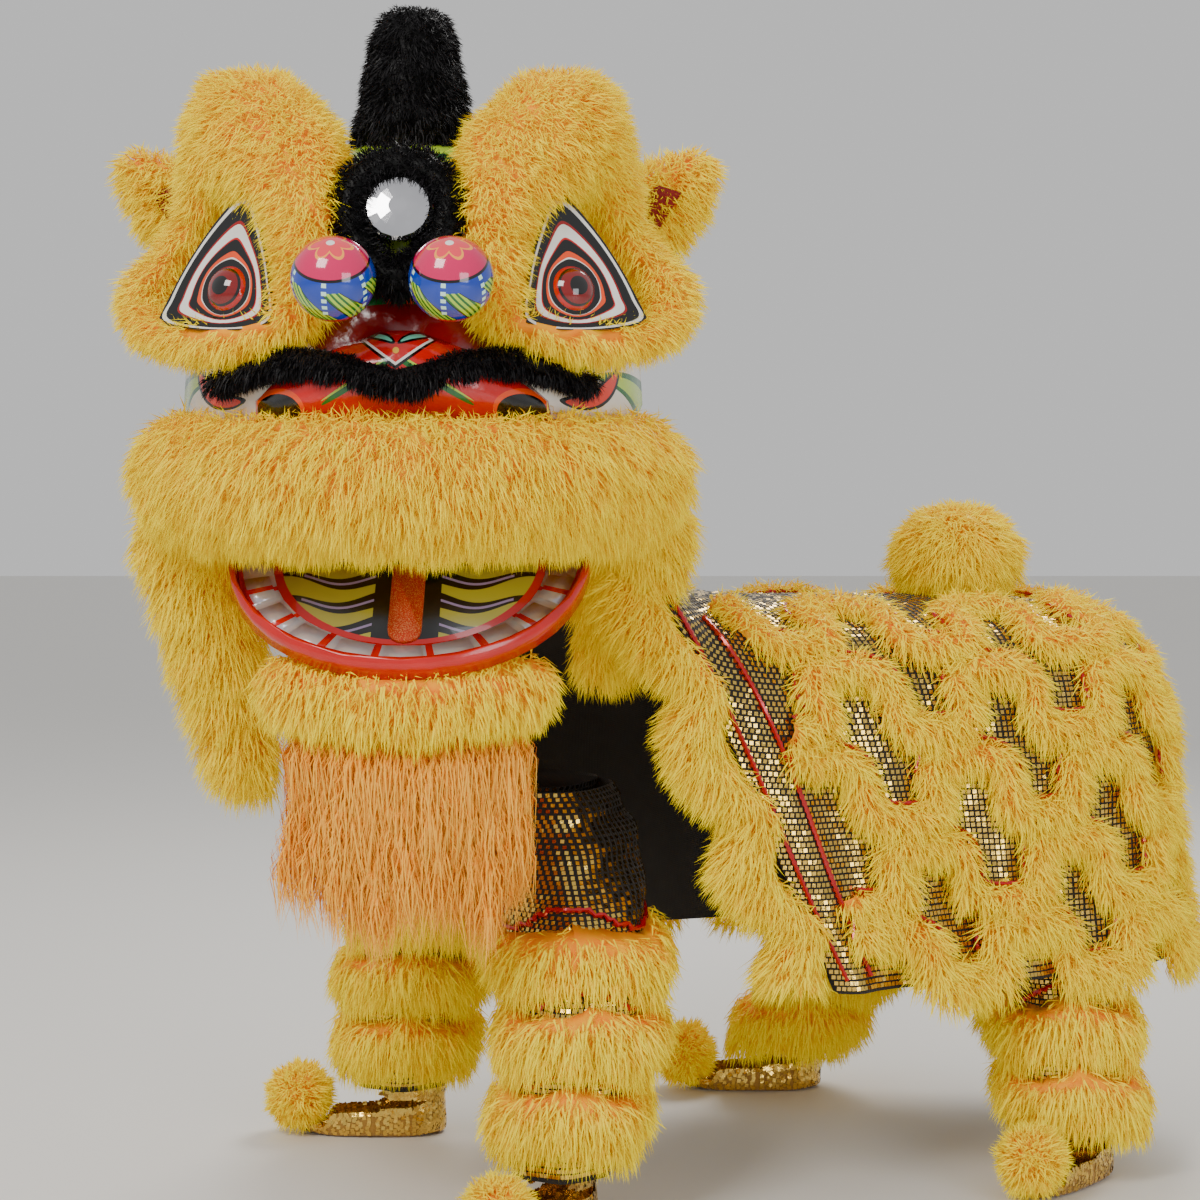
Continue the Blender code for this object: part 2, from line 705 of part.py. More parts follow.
def mouth_lining():
    """Painted lining of the mouth's floor, inside the teeth."""
    return jaw_plate("mouth_lining", TEETH_INSET + TEETH_BAND + GAP, LINING_REAR + GAP, GAP,
                     LINING_TOP, LINING)


def tongue():
    """Flat tongue on the lining, with a round tip."""
    builder = bmesh.new()
    root = FLOOR_START + 0.030
    outline = [(-TONGUE_WIDTH / 2, root), (TONGUE_WIDTH / 2, root)]
    for index in range(9):
        turn = math.pi * index / 8
        outline.append((TONGUE_WIDTH / 2 * math.cos(turn),
                        root + TONGUE_LENGTH - TONGUE_WIDTH / 2 + TONGUE_WIDTH / 2 * math.sin(turn)))
    low = LINING_TOP + GAP
    skin(builder, [[Vector((x, y, z)) for x, y in outline] for z in (low, low + 0.007)])
    bmesh.ops.transform(builder, matrix=JAW_PLACE, verts=builder.verts)
    return to_object("tongue", builder, LACQUER)


def tray_cutter():
    """Outer form of the tray, a gap larger."""
    return jaw_plate("tray_cutter", -GAP, -GAP, -JAW_WALL - GAP, JAW_DEPTH + GAP, LACQUER, True)


def chin_fur(grow=0.0, cutter=False):
    """Fur roll under the tray's front edge."""
    rows = []
    for share in (-1.0, -0.6, 0.0, 0.6, 1.0):
        rows.append((CHIN_HALF_WIDTH * share, -0.262 + 0.075 * share ** 2, -0.232 + 0.018 * share ** 2,
                     CHIN_RADIUS))
    return fur_sweep("chin_fur" + ("_cutter" if cutter else ""), rows, 7, 6, 0.012, 0.006,
                     FUR, False, grow, cutter, 23)


def beard():
    """Long straight hair in locks, fused along their roots."""
    spread = CHIN_HALF_WIDTH * 0.84
    root_z = -0.232 - CHIN_RADIUS - 0.014
    rows = [(spread * share, -0.248 + 0.055 * share ** 2, root_z + 0.014 * share ** 2, 0.012)
            for share in (-1.0, -0.5, 0.0, 0.5, 1.0)]
    backing = fur_sweep("beard", rows, 6, 4, 0.002, 0.0, HAIR, False, seed=29)
    chance = random.Random(31)
    for index in range(BEARD_LOCKS):
        share = -1.0 + 2.0 * index / (BEARD_LOCKS - 1)
        length = BEARD_LENGTH * chance.uniform(0.72, 1.0)
        builder = bmesh.new()
        rings = []
        for step in range(4):
            down = step / 3
            width = 0.0125 * (1 - 0.75 * down)
            centre = Vector((spread * share * (0.92 + 0.22 * down) + 0.008 * math.sin(4 * down + index),
                             -0.248 + 0.055 * share ** 2 + 0.010 * math.sin(3 * down + index * 2),
                             root_z + 0.014 * share ** 2 + 0.004 - length * down))
            rings.append([centre + Vector((width * math.cos(t), 0.008 * (1.1 - down) * math.sin(t), 0))
                          for t in (2 * math.pi * k / 4 for k in range(4))])
        skin(builder, rings)
        unite(backing, to_object("beard_lock_%d" % index, builder, HAIR, cutter=True))
    return backing


CHEEK_X = 0.302
CHEEK_Y = -0.015
CHEEK_SWAY = 0.010
CHEEK_LENGTHS = {-1: 0.40, 1: 0.24}


def cheek_fur(side, length, grow=0.0, cutter=False):
    """Fur curtain that hangs from the head beside the jaw."""
    rows = []
    for share in (0.0, 0.35, 0.7, 1.0):
        rows.append((side * (CHEEK_X + CHEEK_SWAY * side * share), CHEEK_Y + 0.02 * share,
                     -length * share - 0.012, 0.048 - 0.022 * share))
    return fur_sweep("cheek_fur_" + side_name(side) + ("_cutter" if cutter else ""), rows, 6, 6,
                     0.018, 0.010, FUR, False, grow, cutter, 37, Vector((0, 1, 0)), 0.62)


BODY_TURN = math.radians(BODY_YAW_DEG)
BODY_ALONG = Vector((math.cos(BODY_TURN), math.sin(BODY_TURN), 0))
BODY_NEAR = Vector((math.sin(BODY_TURN), -math.cos(BODY_TURN), 0))


def body_point(along, near, height):
    """World point from a place along and across the body."""
    return Vector((*BODY_START, 0)) + BODY_ALONG * along + BODY_NEAR * near + Vector((0, 0, height))


# Share of the way down: share of half width and of the drop to the hem
DRAPE_LEVELS = ((0.0, 0.0, 0.0), (0.12, 0.42, 0.025), (0.25, 0.76, 0.10), (0.38, 0.93, 0.24),
                (0.55, 1.0, 0.45), (0.78, 1.03, 0.74), (1.0, 1.10, 1.0))
# Share of the length: rise of the back over its usual height
BACK_LINE = ((0.0, 0.178), (0.06, 0.178), (0.14, 0.10), (0.24, 0.02), (0.5, 0.0), (0.72, -0.005),
             (1.0, -0.030))
FRONT_START = 0.06
FRONT_SPREAD = 0.8
FRONT_NEAR_HEM = 0.40
FRONT_FAR_HEM = 0.17
DRAPE_STATIONS = 25


def drape_point(u, v, out=0.0):
    """Point of the drape: u runs near side, rump, far side; v from the back to the hem."""
    level = read_table(DRAPE_LEVELS, v)
    width = BODY_HALF_WIDTH * level[1]
    centre = BODY_LENGTH - BODY_HALF_WIDTH * 1.10
    if u < 0.4:
        front = FRONT_START + (FRONT_NEAR_HEM - FRONT_START) * v ** FRONT_SPREAD
        along, near, way = front + (centre - front) * u / 0.4, 1.0, (0.0, 1.0)
    elif u > 0.6:
        front = FRONT_START + (FRONT_FAR_HEM - FRONT_START) * v ** FRONT_SPREAD
        along, near, way = front + (centre - front) * (1.0 - u) / 0.4, -1.0, (0.0, -1.0)
    else:
        turn = math.pi * (u - 0.4) / 0.2
        along, near, way = centre, 1.0, (math.sin(turn), math.cos(turn))
    top = BACK_Z + read_table(BACK_LINE, max(along, 0.0) / BODY_LENGTH)[1]
    fold = 1.0 + 0.030 * v * math.sin(u * 2 * math.pi * SCALLOPS)
    reach = width * fold + out * min(1.0, 0.3 + level[1])
    rise = out * (1.0 - level[1]) if level[1] < 1 else 0.0
    return body_point(along + reach * way[0], reach * way[1], top + (HEM_Z - top) * level[2] + rise)


def back_cloth(grow=0.0, thickness=CLOTH_WALL, name="back_cloth", cutter=False):
    """Drape over the rear wearer: open at the front and below."""
    builder = bmesh.new()
    past = 0.002 if cutter else 0.0
    stations = [-past] + [k / DRAPE_STATIONS for k in range(1, DRAPE_STATIONS)] + [1.0 + past]
    rows = [[builder.verts.new(drape_point(u, level[0], grow)) for u in stations]
            for level in DRAPE_LEVELS]
    for low, high in zip(rows, rows[1:]):
        for index in range(DRAPE_STATIONS):
            halves(builder, (low[index], low[index + 1], high[index + 1], high[index]), "rising")
    bmesh.ops.remove_doubles(builder, verts=builder.verts, dist=0.00005)
    bmesh.ops.recalc_face_normals(builder, faces=builder.faces)
    highest = max(builder.faces, key=lambda face: face.calc_center_median().z)
    if highest.normal.z < 0:
        bmesh.ops.reverse_faces(builder, faces=builder.faces)
    mesh = bpy.data.meshes.new(name)
    builder.to_mesh(mesh)
    builder.free()
    made = bpy.data.objects.new(name, mesh)
    (CUTTERS if cutter else COSTUME).objects.link(made)
    if cutter:
        made.hide_render = True
        made.display_type = "WIRE"
    made.data.materials.append(SEQUINS)
    wall = made.modifiers.new("wall", "SOLIDIFY")
    wall.thickness = thickness
    wall.offset = -1.0
    wall.use_even_offset = False
    return made


# Share of the way down at which each row of fur is sewn
FUR_ROWS = (0.20, 0.39, 0.55, 0.71, 0.87)
ROW_STATIONS = SCALLOPS * 3 + 1
ROW_START = 0.05
ROW_END = 0.985


def fur_row(number, v):
    """Scalloped strip of long fur along the drape, with its lower edge free."""
    builder = bmesh.new()
    rings = []
    drop = BACK_Z - HEM_Z
    for index in range(ROW_STATIONS):
        u = ROW_START + (ROW_END - ROW_START) * index / (ROW_STATIONS - 1)
        wave = SCALLOP_HEIGHT / drop * abs(math.sin(math.pi * SCALLOPS * u))
        tall = FUR_ROW_HEIGHT / drop
        high = v + SCALLOP_HEIGHT / drop - wave - tall / 2
        low = high + tall * (1.0 + 0.18 * (index % 2))
        rings.append([drape_point(u, high, -0.006),
                      drape_point(u, high * 0.6 + low * 0.4, FUR_ROW_DEPTH),
                      drape_point(u, low, FUR_ROW_DEPTH * 0.7), drape_point(u, low - 0.01, -0.006)])
    skin(builder, rings)
    return to_object("fur_row_%d" % number, builder, FUR)


def edge_fur():
    """Fur fringe along the near front edge of the drape."""
    rows = []
    for v in (0.30, 0.45, 0.62, 0.80, 0.93):
        spot = drape_point(0.0, v, 0.010)
        rows.append((spot.x - 0.040, spot.y - 0.006, spot.z, 0.040))
    return fur_sweep("edge_fur", rows, 7, 6, 0.016, 0.012, FUR, False, seed=41)


def tail_pompom():
    """Big pompom that rests on the ridge of the back, over the rump."""
    along = BODY_LENGTH * TAIL_SHARE
    top = BACK_Z + read_table(BACK_LINE, TAIL_SHARE - TAIL_RADIUS / BODY_LENGTH)[1]
    ball = fur_ball("tail_pompom", body_point(along, 0.0, 0.0), TAIL_RADIUS, 2, 0.016, FUR, seed=43)
    lowest = min(vertex.co.z for vertex in ball.data.vertices)
    ball.location.z = top + GAP - lowest
    return ball


# Leg, hip, knee and ankle places along and across the body, and the toe's heading in degrees
LEGS = {
    "front_right": ((0.07, 0.085), (0.055, 0.235), (0.005, 0.279), 240.0),
    "front_left": ((0.02, -0.085), (-0.05, -0.225), (-0.061, -0.272), 183.0),
    "rear_right": ((0.76, 0.075), (0.80, 0.195), (0.79, 0.300), 235.0),
    "rear_left": ((0.72, -0.075), (0.68, -0.200), (0.60, -0.335), 185.0),
}
KNEE_Z = -0.645
LEG_RINGS = 6
LEG_SIDES = 10
TIER_SHARES = {"front": (0.41, 0.61, 0.82), "rear": (0.73, 0.90)}
ANKLE_Z = FLOOR_Z + SHOE_HEIGHT + GAP


def waist_height(leg):
    """Height of the waist of the pair that a leg belongs to."""
    return WAIST_DROP_FRONT if leg.startswith("front") else WAIST_DROP_REAR


def leg_rows(leg):
    """Centre line of a leg with its radius, from waist to ankle."""
    hip, knee, foot, _ = LEGS[leg]
    top = waist_height(leg)
    centre = [(hip[0] + LEGS[twin(leg)][0][0]) / 2, 0.0]
    waist = body_point(centre[0], centre[1] + hip[1] * 0.35, top)
    return [(*waist, WAIST_RADIUS * 0.72),
            (*body_point(hip[0], hip[1], top - 0.09), WAIST_RADIUS * 0.70),
            (*body_point(*knee, KNEE_Z), KNEE_RADIUS),
            (*body_point((knee[0] + foot[0]) / 2, (knee[1] + foot[1]) / 2, (KNEE_Z + ANKLE_Z) / 2),
             (KNEE_RADIUS + CUFF_RADIUS) / 2),
            (*body_point(*foot, ANKLE_Z), CUFF_RADIUS)]


def twin(leg):
    """Name of the other leg of a pair."""
    return leg.replace("left", "LEFT").replace("right", "left").replace("LEFT", "right")


def leg_tube(leg, name, grow=0.0, past_end=0.0):
    """Filled form of one leg, as level rings, longer at both ends by past_end."""
    builder = bmesh.new()
    rings = []
    points = curve_through(leg_rows(leg), LEG_RINGS)
    for index, (x, y, z, radius) in enumerate(points):
        height = z + (past_end if index == 0 else -past_end if index == LEG_RINGS - 1 else 0.0)
        rings.append([Vector((x + (radius + grow) * math.cos(t), y + (radius + grow) * math.sin(t), height))
                      for t in (2 * math.pi * (k + 0.5) / LEG_SIDES for k in range(LEG_SIDES))])
    skin(builder, rings, split="rising")
    return to_object(name, builder, SEQUINS, cutter=True)


def trousers(pair):
    """Hollow trousers of one wearer, open at the waist and the ankles."""
    first, second = pair + "_right", pair + "_left"
    made = leg_tube(first, pair + "_trousers")
    CUTTERS.objects.unlink(made)
    COSTUME.objects.link(made)
    made.hide_render = False
    made.display_type = "TEXTURED"
    unite(made, leg_tube(second, pair + "_second_leg"))
    cut(made, leg_tube(first, pair + "_first_hollow", -CLOTH_WALL, 0.02),
        leg_tube(second, pair + "_second_hollow", -CLOTH_WALL, 0.02))
    return made


def fur_tier(leg, number, share):
    """Ring of hanging fur round a leg, with pointed locks below."""
    top = waist_height(leg)
    sides = LEG_SIDES
    points = curve_through(leg_rows(leg), 33)
    heights = [point[2] for point in points]
    level = top + (ANKLE_Z - top) * share
    rings = []
    for index in range(sides):
        turn = 2 * math.pi * (index + 0.5) / sides
        wave = 0.014 * math.sin(turn * 3)
        length = TIER_HEIGHT * (1.0 if index % 2 else 0.80)
        ring = []
        for down, out in ((0.0, -0.010), (0.40, 1.0), (1.0, 0.60), (0.82, -0.010)):
            z = level + wave + TIER_HEIGHT * 0.45 - length * down
            spot = points[min(range(33), key=lambda k: abs(heights[k] - z))]
            reach = spot[3] + (out * TIER_DEPTH if out > 0 else out)
            ring.append(Vector((spot[0] + reach * math.cos(turn), spot[1] + reach * math.sin(turn), z)))
        rings.append(ring)
    builder = bmesh.new()
    skin(builder, rings, closed=True)
    return to_object("tier_%s_%d" % (leg, number), builder, FUR)


# Share of height: share of toe reach, of heel reach and of half width
SHOE_SECTIONS = ((0.0, 0.94, 0.94, 0.92), (0.16, 1.0, 1.0, 1.0), (0.45, 0.90, 0.98, 0.96),
                 (0.72, 0.52, 0.96, 0.86), (1.0, 0.34, 0.98, 0.84))


def shoe_solid(leg, name, grow, base, top, cutter):
    """Lofted form of a shoe cover, level ring by level ring."""
    foot, heading = LEGS[leg][2], math.radians(LEGS[leg][3])
    centre = body_point(*foot, 0.0)
    toe = Vector((math.cos(heading), math.sin(heading), 0))
    across = Vector((-toe.y, toe.x, 0))
    rings = []
    for height, forward, back, width in SHOE_SECTIONS:
        ring = []
        for index in range(12):
            turn = 2 * math.pi * (index + 0.5) / 12
            reach = SHOE_LENGTH * (0.70 * forward if math.cos(turn) > 0 else 0.30 * back) + grow
            ring.append(centre + toe * reach * math.cos(turn)
                        + across * (SHOE_WIDTH / 2 * width + grow) * math.sin(turn)
                        + Vector((0, 0, base + (top - base) * height)))
        rings.append(ring)
    builder = bmesh.new()
    skin(builder, rings, split="rising")
    return to_object(name, builder, SHOE_CLOTH, cutter)


def shoe(leg):
    """Hollow shoe cover with its ankle open."""
    top = FLOOR_Z + SHOE_HEIGHT
    made = shoe_solid(leg, "shoe_" + leg, 0.0, FLOOR_Z, top, False)
    cut(made, shoe_solid(leg, "shoe_hollow_" + leg, -CLOTH_WALL, FLOOR_Z + 0.006, top + 0.012, True))
    return made


def shoe_pompom(leg):
    """Fur pompom on the toe."""
    foot, heading = LEGS[leg][2], math.radians(LEGS[leg][3])
    toe = Vector((math.cos(heading), math.sin(heading), 0))
    reach = SHOE_LENGTH * 0.70 - SHOE_POMPOM_RADIUS * 0.2
    centre = body_point(*foot, 0.0) + toe * reach + Vector((0, 0, FLOOR_Z + SHOE_POMPOM_RADIUS * 1.5))
    ball = fur_ball("shoe_pompom_" + leg, centre, SHOE_POMPOM_RADIUS, 1, 0.014, FUR, seed=47)
    cut(ball, shoe_solid(leg, "shoe_form_" + leg, GAP, FLOOR_Z - GAP, FLOOR_Z + SHOE_HEIGHT + GAP, True))
    return ball


def build_head():
    """Everything that the hollow head carries."""
    head_shell()
    form = shell_cutter("head_form")
    nose = snout()
    cut(nose, form)
    nose_form = snout(GAP, True)
    glass = mirror()
    cut(glass, form)
    glass_form = mirror(GAP, True)
    ball_forms = [nose_ball(side, GAP, True) for side in (-1, 1)]
    for side in (-1, 1):
        cut(nose_ball(side), form)
    ring = mirror_ring()
    ring_form = mirror_ring(GAP, True)
    cut(ring, form, glass_form, nose_form, *ball_forms)
    roll = muzzle_roll()
    roll_form = muzzle_roll(GAP, True)
    lip = moustache()
    cut(roll, form, nose_form, *[bracket_form(side) for side in (-1, 1)])
    cut(lip, form, nose_form, roll_form, *ball_forms)
    top = horn()
    cut(top, form)
    for side in (-1, 1):
        plate = eye_plate(side)
        cut(plate, form)
        plate_form = eye_plate(side, GAP, True)
        eyeball(side)
        ball_form = eyeball(side, GAP, True)
        lobe = brow(side)
        lobe_form = brow(side, GAP, True)
        cut(lobe, form, plate_form, ball_form, ring_form, nose_form, *ball_forms)
        cut(lip, lobe_form)
        fur_ear = ear(side)
        leaf = ear_lining(side)
        cut(fur_ear, form, lobe_form)
        cut(leaf, lobe_form, form)
        cheek = cheek_fur(side, CHEEK_LENGTHS[side])
        cut(cheek, roll_form, form)
        hinge_bracket(side)


def build_jaw():
    """The mouth's tray and what it carries."""
    jaw_tray()
    teeth()
    mouth_lining()
    tongue()
    under = tray_cutter()
    chin = chin_fur()
    cut(chin, under)
    cut(beard(), chin_fur(GAP, True))


def build_body():
    """The drape, its rows of fur and its pompom."""
    back_cloth()
    form = back_cloth(2 * GAP, SEAT_DEPTH, "drape_form", True)
    cheek_form = cheek_fur(1, CHEEK_LENGTHS[1], GAP, True)
    cut(bpy.data.objects["cheek_fur_right"], form)
    for number, v in enumerate(FUR_ROWS, 1):
        cut(fur_row(number, v), form)
    cut(edge_fur(), form, cheek_form)
    tail_pompom()


def build_legs():
    """Trousers, fur tiers, shoe covers and their pompoms."""
    for pair in ("front", "rear"):
        trousers(pair)
        forms = [leg_tube(pair + side, pair + side + "_form", GAP, GAP) for side in ("_right", "_left")]
        for side in ("_right", "_left"):
            for number, share in enumerate(TIER_SHARES[pair], 1):
                cut(fur_tier(pair + side, number, share), *forms)
            shoe(pair + side)
            shoe_pompom(pair + side)


build_head()
build_jaw()
build_body()
build_legs()
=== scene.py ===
"""Looks of the lion dance costume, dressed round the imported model.

Fur is made of curved blades on each fur form, sequins are small plates set in
a grid on the cloth, and the painted pieces carry thin layers of paint.
"""
import json
import logging
import math
import sys
from collections.abc import Callable
from dataclasses import dataclass
from enum import Enum
from functools import partial

import bmesh
import bpy
import numpy as np
from mathutils import Matrix, Vector
from mathutils.bvhtree import BVHTree

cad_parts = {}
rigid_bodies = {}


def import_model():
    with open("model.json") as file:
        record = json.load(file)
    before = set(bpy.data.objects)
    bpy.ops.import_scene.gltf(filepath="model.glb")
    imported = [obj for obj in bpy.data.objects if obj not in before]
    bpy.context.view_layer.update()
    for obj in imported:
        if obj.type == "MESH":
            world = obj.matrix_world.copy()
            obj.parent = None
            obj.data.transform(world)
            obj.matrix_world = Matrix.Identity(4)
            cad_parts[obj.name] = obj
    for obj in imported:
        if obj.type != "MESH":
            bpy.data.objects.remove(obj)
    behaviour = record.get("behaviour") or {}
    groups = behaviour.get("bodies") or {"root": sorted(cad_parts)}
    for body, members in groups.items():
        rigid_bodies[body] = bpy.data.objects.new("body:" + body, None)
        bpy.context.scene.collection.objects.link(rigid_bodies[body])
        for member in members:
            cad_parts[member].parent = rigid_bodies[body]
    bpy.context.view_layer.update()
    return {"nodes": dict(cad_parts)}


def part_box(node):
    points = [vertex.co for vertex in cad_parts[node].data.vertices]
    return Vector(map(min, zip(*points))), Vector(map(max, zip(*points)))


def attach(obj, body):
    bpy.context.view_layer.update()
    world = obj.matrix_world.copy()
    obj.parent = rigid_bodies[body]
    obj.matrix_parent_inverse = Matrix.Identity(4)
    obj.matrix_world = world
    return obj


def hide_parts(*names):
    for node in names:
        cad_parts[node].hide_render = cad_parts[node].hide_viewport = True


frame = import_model()
LOG = logging.getLogger("lion")

HEAD_BODY = "costume"
JAW_BODY = "jaw"
CAD_GAP = 0.0004
NOSE_BALL = (0.072, -0.395, 0.299)
NOSE_BALL_RADIUS = 0.0526
NOSE_BALL_TURN = (38.0, 90.0)
JAW_HINGE = (0.0, -0.075, -0.040)
JAW_DROP = 38.0
ROW_LEVELS = (0.21, 0.39, 0.57, 0.75, 0.93)
WAIST = {"front": -0.385, "rear": -0.33}
PIPING_RADIUS = 0.0042
PIPING_SWELL = 0.42
SEQUIN_TILT = 0.16
SHOE_SEQUIN = 0.0058
CLOTH_ENDS = (0.004, 0.996)
BLADE_SPREAD = 0.32
BLADE_SHARES = (0.65, 1.25)
FULL_TURN = 6.28
CLUMP_SCALE = 32.0
BARE_GAP = 0.0035
MERGE_DISTANCE = 1e-5
RELAX_SHARE = 0.35
PIECE_EDGE = math.radians(40)
NODE_EDGE = math.radians(38)


def linear(red: float, green: float, blue: float) -> tuple[float, float, float, float]:
    """Linear colour from screen values between 0 and 1."""
    return tuple(value ** 2.2 for value in (red, green, blue)) + (1.0,)


# GOLD_ROOT, darker and more orange than the tip, is painted shade deep in the fur pile
GOLD_TIP = linear(1.0, 0.91, 0.0)
GOLD_MID = linear(1.0, 0.80, 0.0)
GOLD_ROOT = linear(0.97, 0.54, 0.0)
BLACK = linear(0.045, 0.04, 0.045)
WHITE = linear(0.92, 0.91, 0.88)
RED = linear(0.80, 0.07, 0.06)
DEEP_RED = linear(0.50, 0.03, 0.04)
ORANGE = linear(0.93, 0.30, 0.08)
LIME = linear(0.70, 0.85, 0.25)
GREEN = linear(0.05, 0.42, 0.16)
PINK = linear(0.82, 0.05, 0.34)
BLUE = linear(0.10, 0.24, 0.66)
MINT = linear(0.50, 0.90, 0.78)
LILAC = linear(0.62, 0.55, 0.72)
OLIVE = linear(0.72, 0.70, 0.24)


def operator(operation: str, reflected: bool = False) -> Callable[["Wire", object], "Wire"]:
    """Method that gives an arithmetic sign to a Math node.

    Args:
        operation: the node's operation.
        reflected: whether the other value comes first.

    Returns:
        The method.
    """
    def method(wire: "Wire", other: object) -> "Wire":
        values = (other, wire) if reflected else (wire, other)
        return wire.graph.maths(operation, *values)
    return method


@dataclass
class Wire:
    """A node socket that takes part in Python arithmetic."""

    graph: "Graph"
    socket: bpy.types.NodeSocket

    __add__ = operator("ADD")
    __radd__ = operator("ADD", True)
    __sub__ = operator("SUBTRACT")
    __rsub__ = operator("SUBTRACT", True)
    __mul__ = operator("MULTIPLY")
    __rmul__ = operator("MULTIPLY", True)
    __truediv__ = operator("DIVIDE")
    __gt__ = operator("GREATER_THAN")
    __lt__ = operator("LESS_THAN")


class NodeMaker:
    """Adds nodes to a tree and feeds their sockets."""

    tree: bpy.types.NodeTree

    def node(self, kind: str, settings: dict | None = None,
             values: dict | None = None) -> bpy.types.Node:
        """Add a node.

        Args:
            kind: the node's type.
            settings: its properties, set first.
            values: socket name or number to a value, a socket or a Wire.

        Returns:
            The node.
        """
        made = self.tree.nodes.new(kind)
        for key, value in (settings or {}).items():
            setattr(made, key, value)
        for key, value in (values or {}).items():
            self.feed(made.inputs[key], value)
        return made

    def feed(self, socket: bpy.types.NodeSocket, value: object) -> None:
        """Link a source to a socket, or set the socket's value.

        Args:
            socket: the socket.
            value: a Wire, a socket or a plain value.
        """
        source = value.socket if isinstance(value, Wire) else value
        if isinstance(source, bpy.types.NodeSocket):
            self.tree.links.new(source, socket)
        else:
            socket.default_value = source


class Graph(NodeMaker):
    """Node tree of one material, with its shader."""

    def __init__(self, name: str) -> None:
        """Start a material whose tree holds the usual shader."""
        self.material = bpy.data.materials.new(name)
        self.material.use_nodes = True
        self.tree = self.material.node_tree
        self.shader = self.tree.nodes["Principled BSDF"]

    def maths(self, operation: str, *values: object) -> Wire:
        """Math node on up to three values."""
        made = self.node("ShaderNodeMath", {"operation": operation}, dict(enumerate(values)))
        return Wire(self, made.outputs[0])

    def size(self, value: Wire) -> Wire:
        """Value without its sign."""
        return self.maths("ABSOLUTE", value)

    def sine(self, value: Wire) -> Wire:
        """Sine of a value."""
        return self.maths("SINE", value)

    def parts(self, vector: Wire) -> tuple[Wire, Wire, Wire]:
        """The three numbers of a vector."""
        made = self.node("ShaderNodeSeparateXYZ", None, {0: vector})
        return tuple(Wire(self, made.outputs[index]) for index in range(3))

    def place(self) -> Wire:
        """Object coordinates."""
        return Wire(self, self.node("ShaderNodeTexCoord").outputs["Object"])

    def place_from(self, spot: Matrix) -> tuple[Wire, Wire, Wire]:
        """The three object coordinates, as read from another place.

        Args:
            spot: the other place.

        Returns:
            Distances across, along and up from it.
        """
        made = self.node("ShaderNodeMapping", {"vector_type": "TEXTURE"},
                         {"Vector": self.place(), "Location": tuple(spot.translation),
                          "Rotation": tuple(spot.to_euler())})
        return self.parts(Wire(self, made.outputs[0]))

    def noise(self, vector: Wire, scale: float, detail: float = 2.0) -> Wire:
        """Cloudy value between 0 and 1.

        Args:
            vector: where it is read.
            scale: its fineness.
            detail: its layers.

        Returns:
            The value.
        """
        made = self.node("ShaderNodeTexNoise", None,
                         {"Vector": vector, "Scale": scale, "Detail": detail})
        return Wire(self, made.outputs["Fac"])

    def mix(self, share: object, low: object, high: object) -> Wire:
        """Colour between two colours."""
        made = self.node("ShaderNodeMix", {"data_type": "RGBA"}, {0: share, 6: low, 7: high})
        return Wire(self, made.outputs[2])

    def attribute(self, name: str) -> Wire:
        """Number stored on the mesh."""
        made = self.node("ShaderNodeAttribute", {"attribute_name": name})
        return Wire(self, made.outputs["Fac"])

    def bump(self, height: Wire, strength: float, distance: float) -> Wire:
        """Surface direction from a height.

        Args:
            height: the height.
            strength: how much of it counts.
            distance: its full height.

        Returns:
            The direction.
        """
        made = self.node("ShaderNodeBump", None,
                         {"Height": height, "Strength": strength, "Distance": distance})
        return Wire(self, made.outputs[0])

    def finish(self, **values: object) -> bpy.types.Material:
        """Set the shader's sockets; an underscore stands for a space.

        Args:
            values: socket name to value.

        Returns:
            The material.
        """
        for key, value in values.items():
            self.feed(self.shader.inputs[key.replace("_", " ")], value)
        return self.material


@dataclass(frozen=True)
class FurFinish:
    """Pile fur whose colour runs from a darker root to a lighter tip; the darker root is painted shade
    deep in the pile, and the fur may carry a painted glow.
    """

    name: str
    root: tuple
    middle: tuple
    tip: tuple
    roughness: float = 0.62
    # strength of a painted glow: emission in the fur's own colour, standing in for light scattered
    # through the fur
    painted_glow: float = 0.0

    def build(self) -> bpy.types.Material:
        """Material that reads each blade's tip value.

        Returns:
            The material.
        """
        graph = Graph(self.name)
        tip = graph.attribute("tip")
        clump = graph.noise(graph.place(), 26.0)
        # painted shade: blades are darker towards the root, as the shade deep in the pile; the clump
        # noise adds random tone
        clump_tone_and_root_shade = (clump - 0.5) * 0.9 + tip * 1.25 + 0.12
        low = graph.mix(graph.maths("MINIMUM", clump_tone_and_root_shade * 2.0, 1.0), self.root, self.middle)
        colour = graph.mix(graph.maths("MAXIMUM", graph.maths("MINIMUM", clump_tone_and_root_shade * 1.6 - 0.7, 1.0), 0.0),
                           low, self.tip)
        # the emission is a painted glow, standing in for light scattered through the fur
        return graph.finish(Base_Color=colour, Roughness=self.roughness, Specular_IOR_Level=0.25,
                            Emission_Color=colour, Emission_Strength=self.painted_glow)


@dataclass(frozen=True)
class PaintFinish:
    """Glossy paint with a faint brushed relief."""

    name: str
    colour: tuple
    roughness: float = 0.22
    metallic: float = 0.0
    grain: float = 160.0
    relief: float = 0.12
    glitter: float = 0.0

    def build(self) -> bpy.types.Material:
        """Material with slightly uneven colour, gloss and surface.

        Returns:
            The material.
        """
        graph = Graph(self.name)
        place = graph.place()
        cloud = graph.noise(place, 18.0, 3.0)
        dark = tuple(value * 0.72 for value in self.colour[:3]) + (1.0,)
        colour = graph.mix(graph.maths("MINIMUM", cloud * 1.5, 1.0), dark, self.colour)
        if self.glitter:
            spark = graph.noise(place, 900.0, 0.0) > 0.62
            colour = graph.mix(spark * self.glitter, colour, linear(1.0, 0.80, 0.45))
        height = graph.noise(place, self.grain, 2.0)
        return graph.finish(Base_Color=colour, Roughness=self.roughness + cloud * 0.14 - 0.05,
                            Metallic=self.metallic, Normal=graph.bump(height, self.relief, 0.002),
                            Coat_Weight=0.5 if self.roughness < 0.3 else 0.0, Coat_Roughness=0.12)


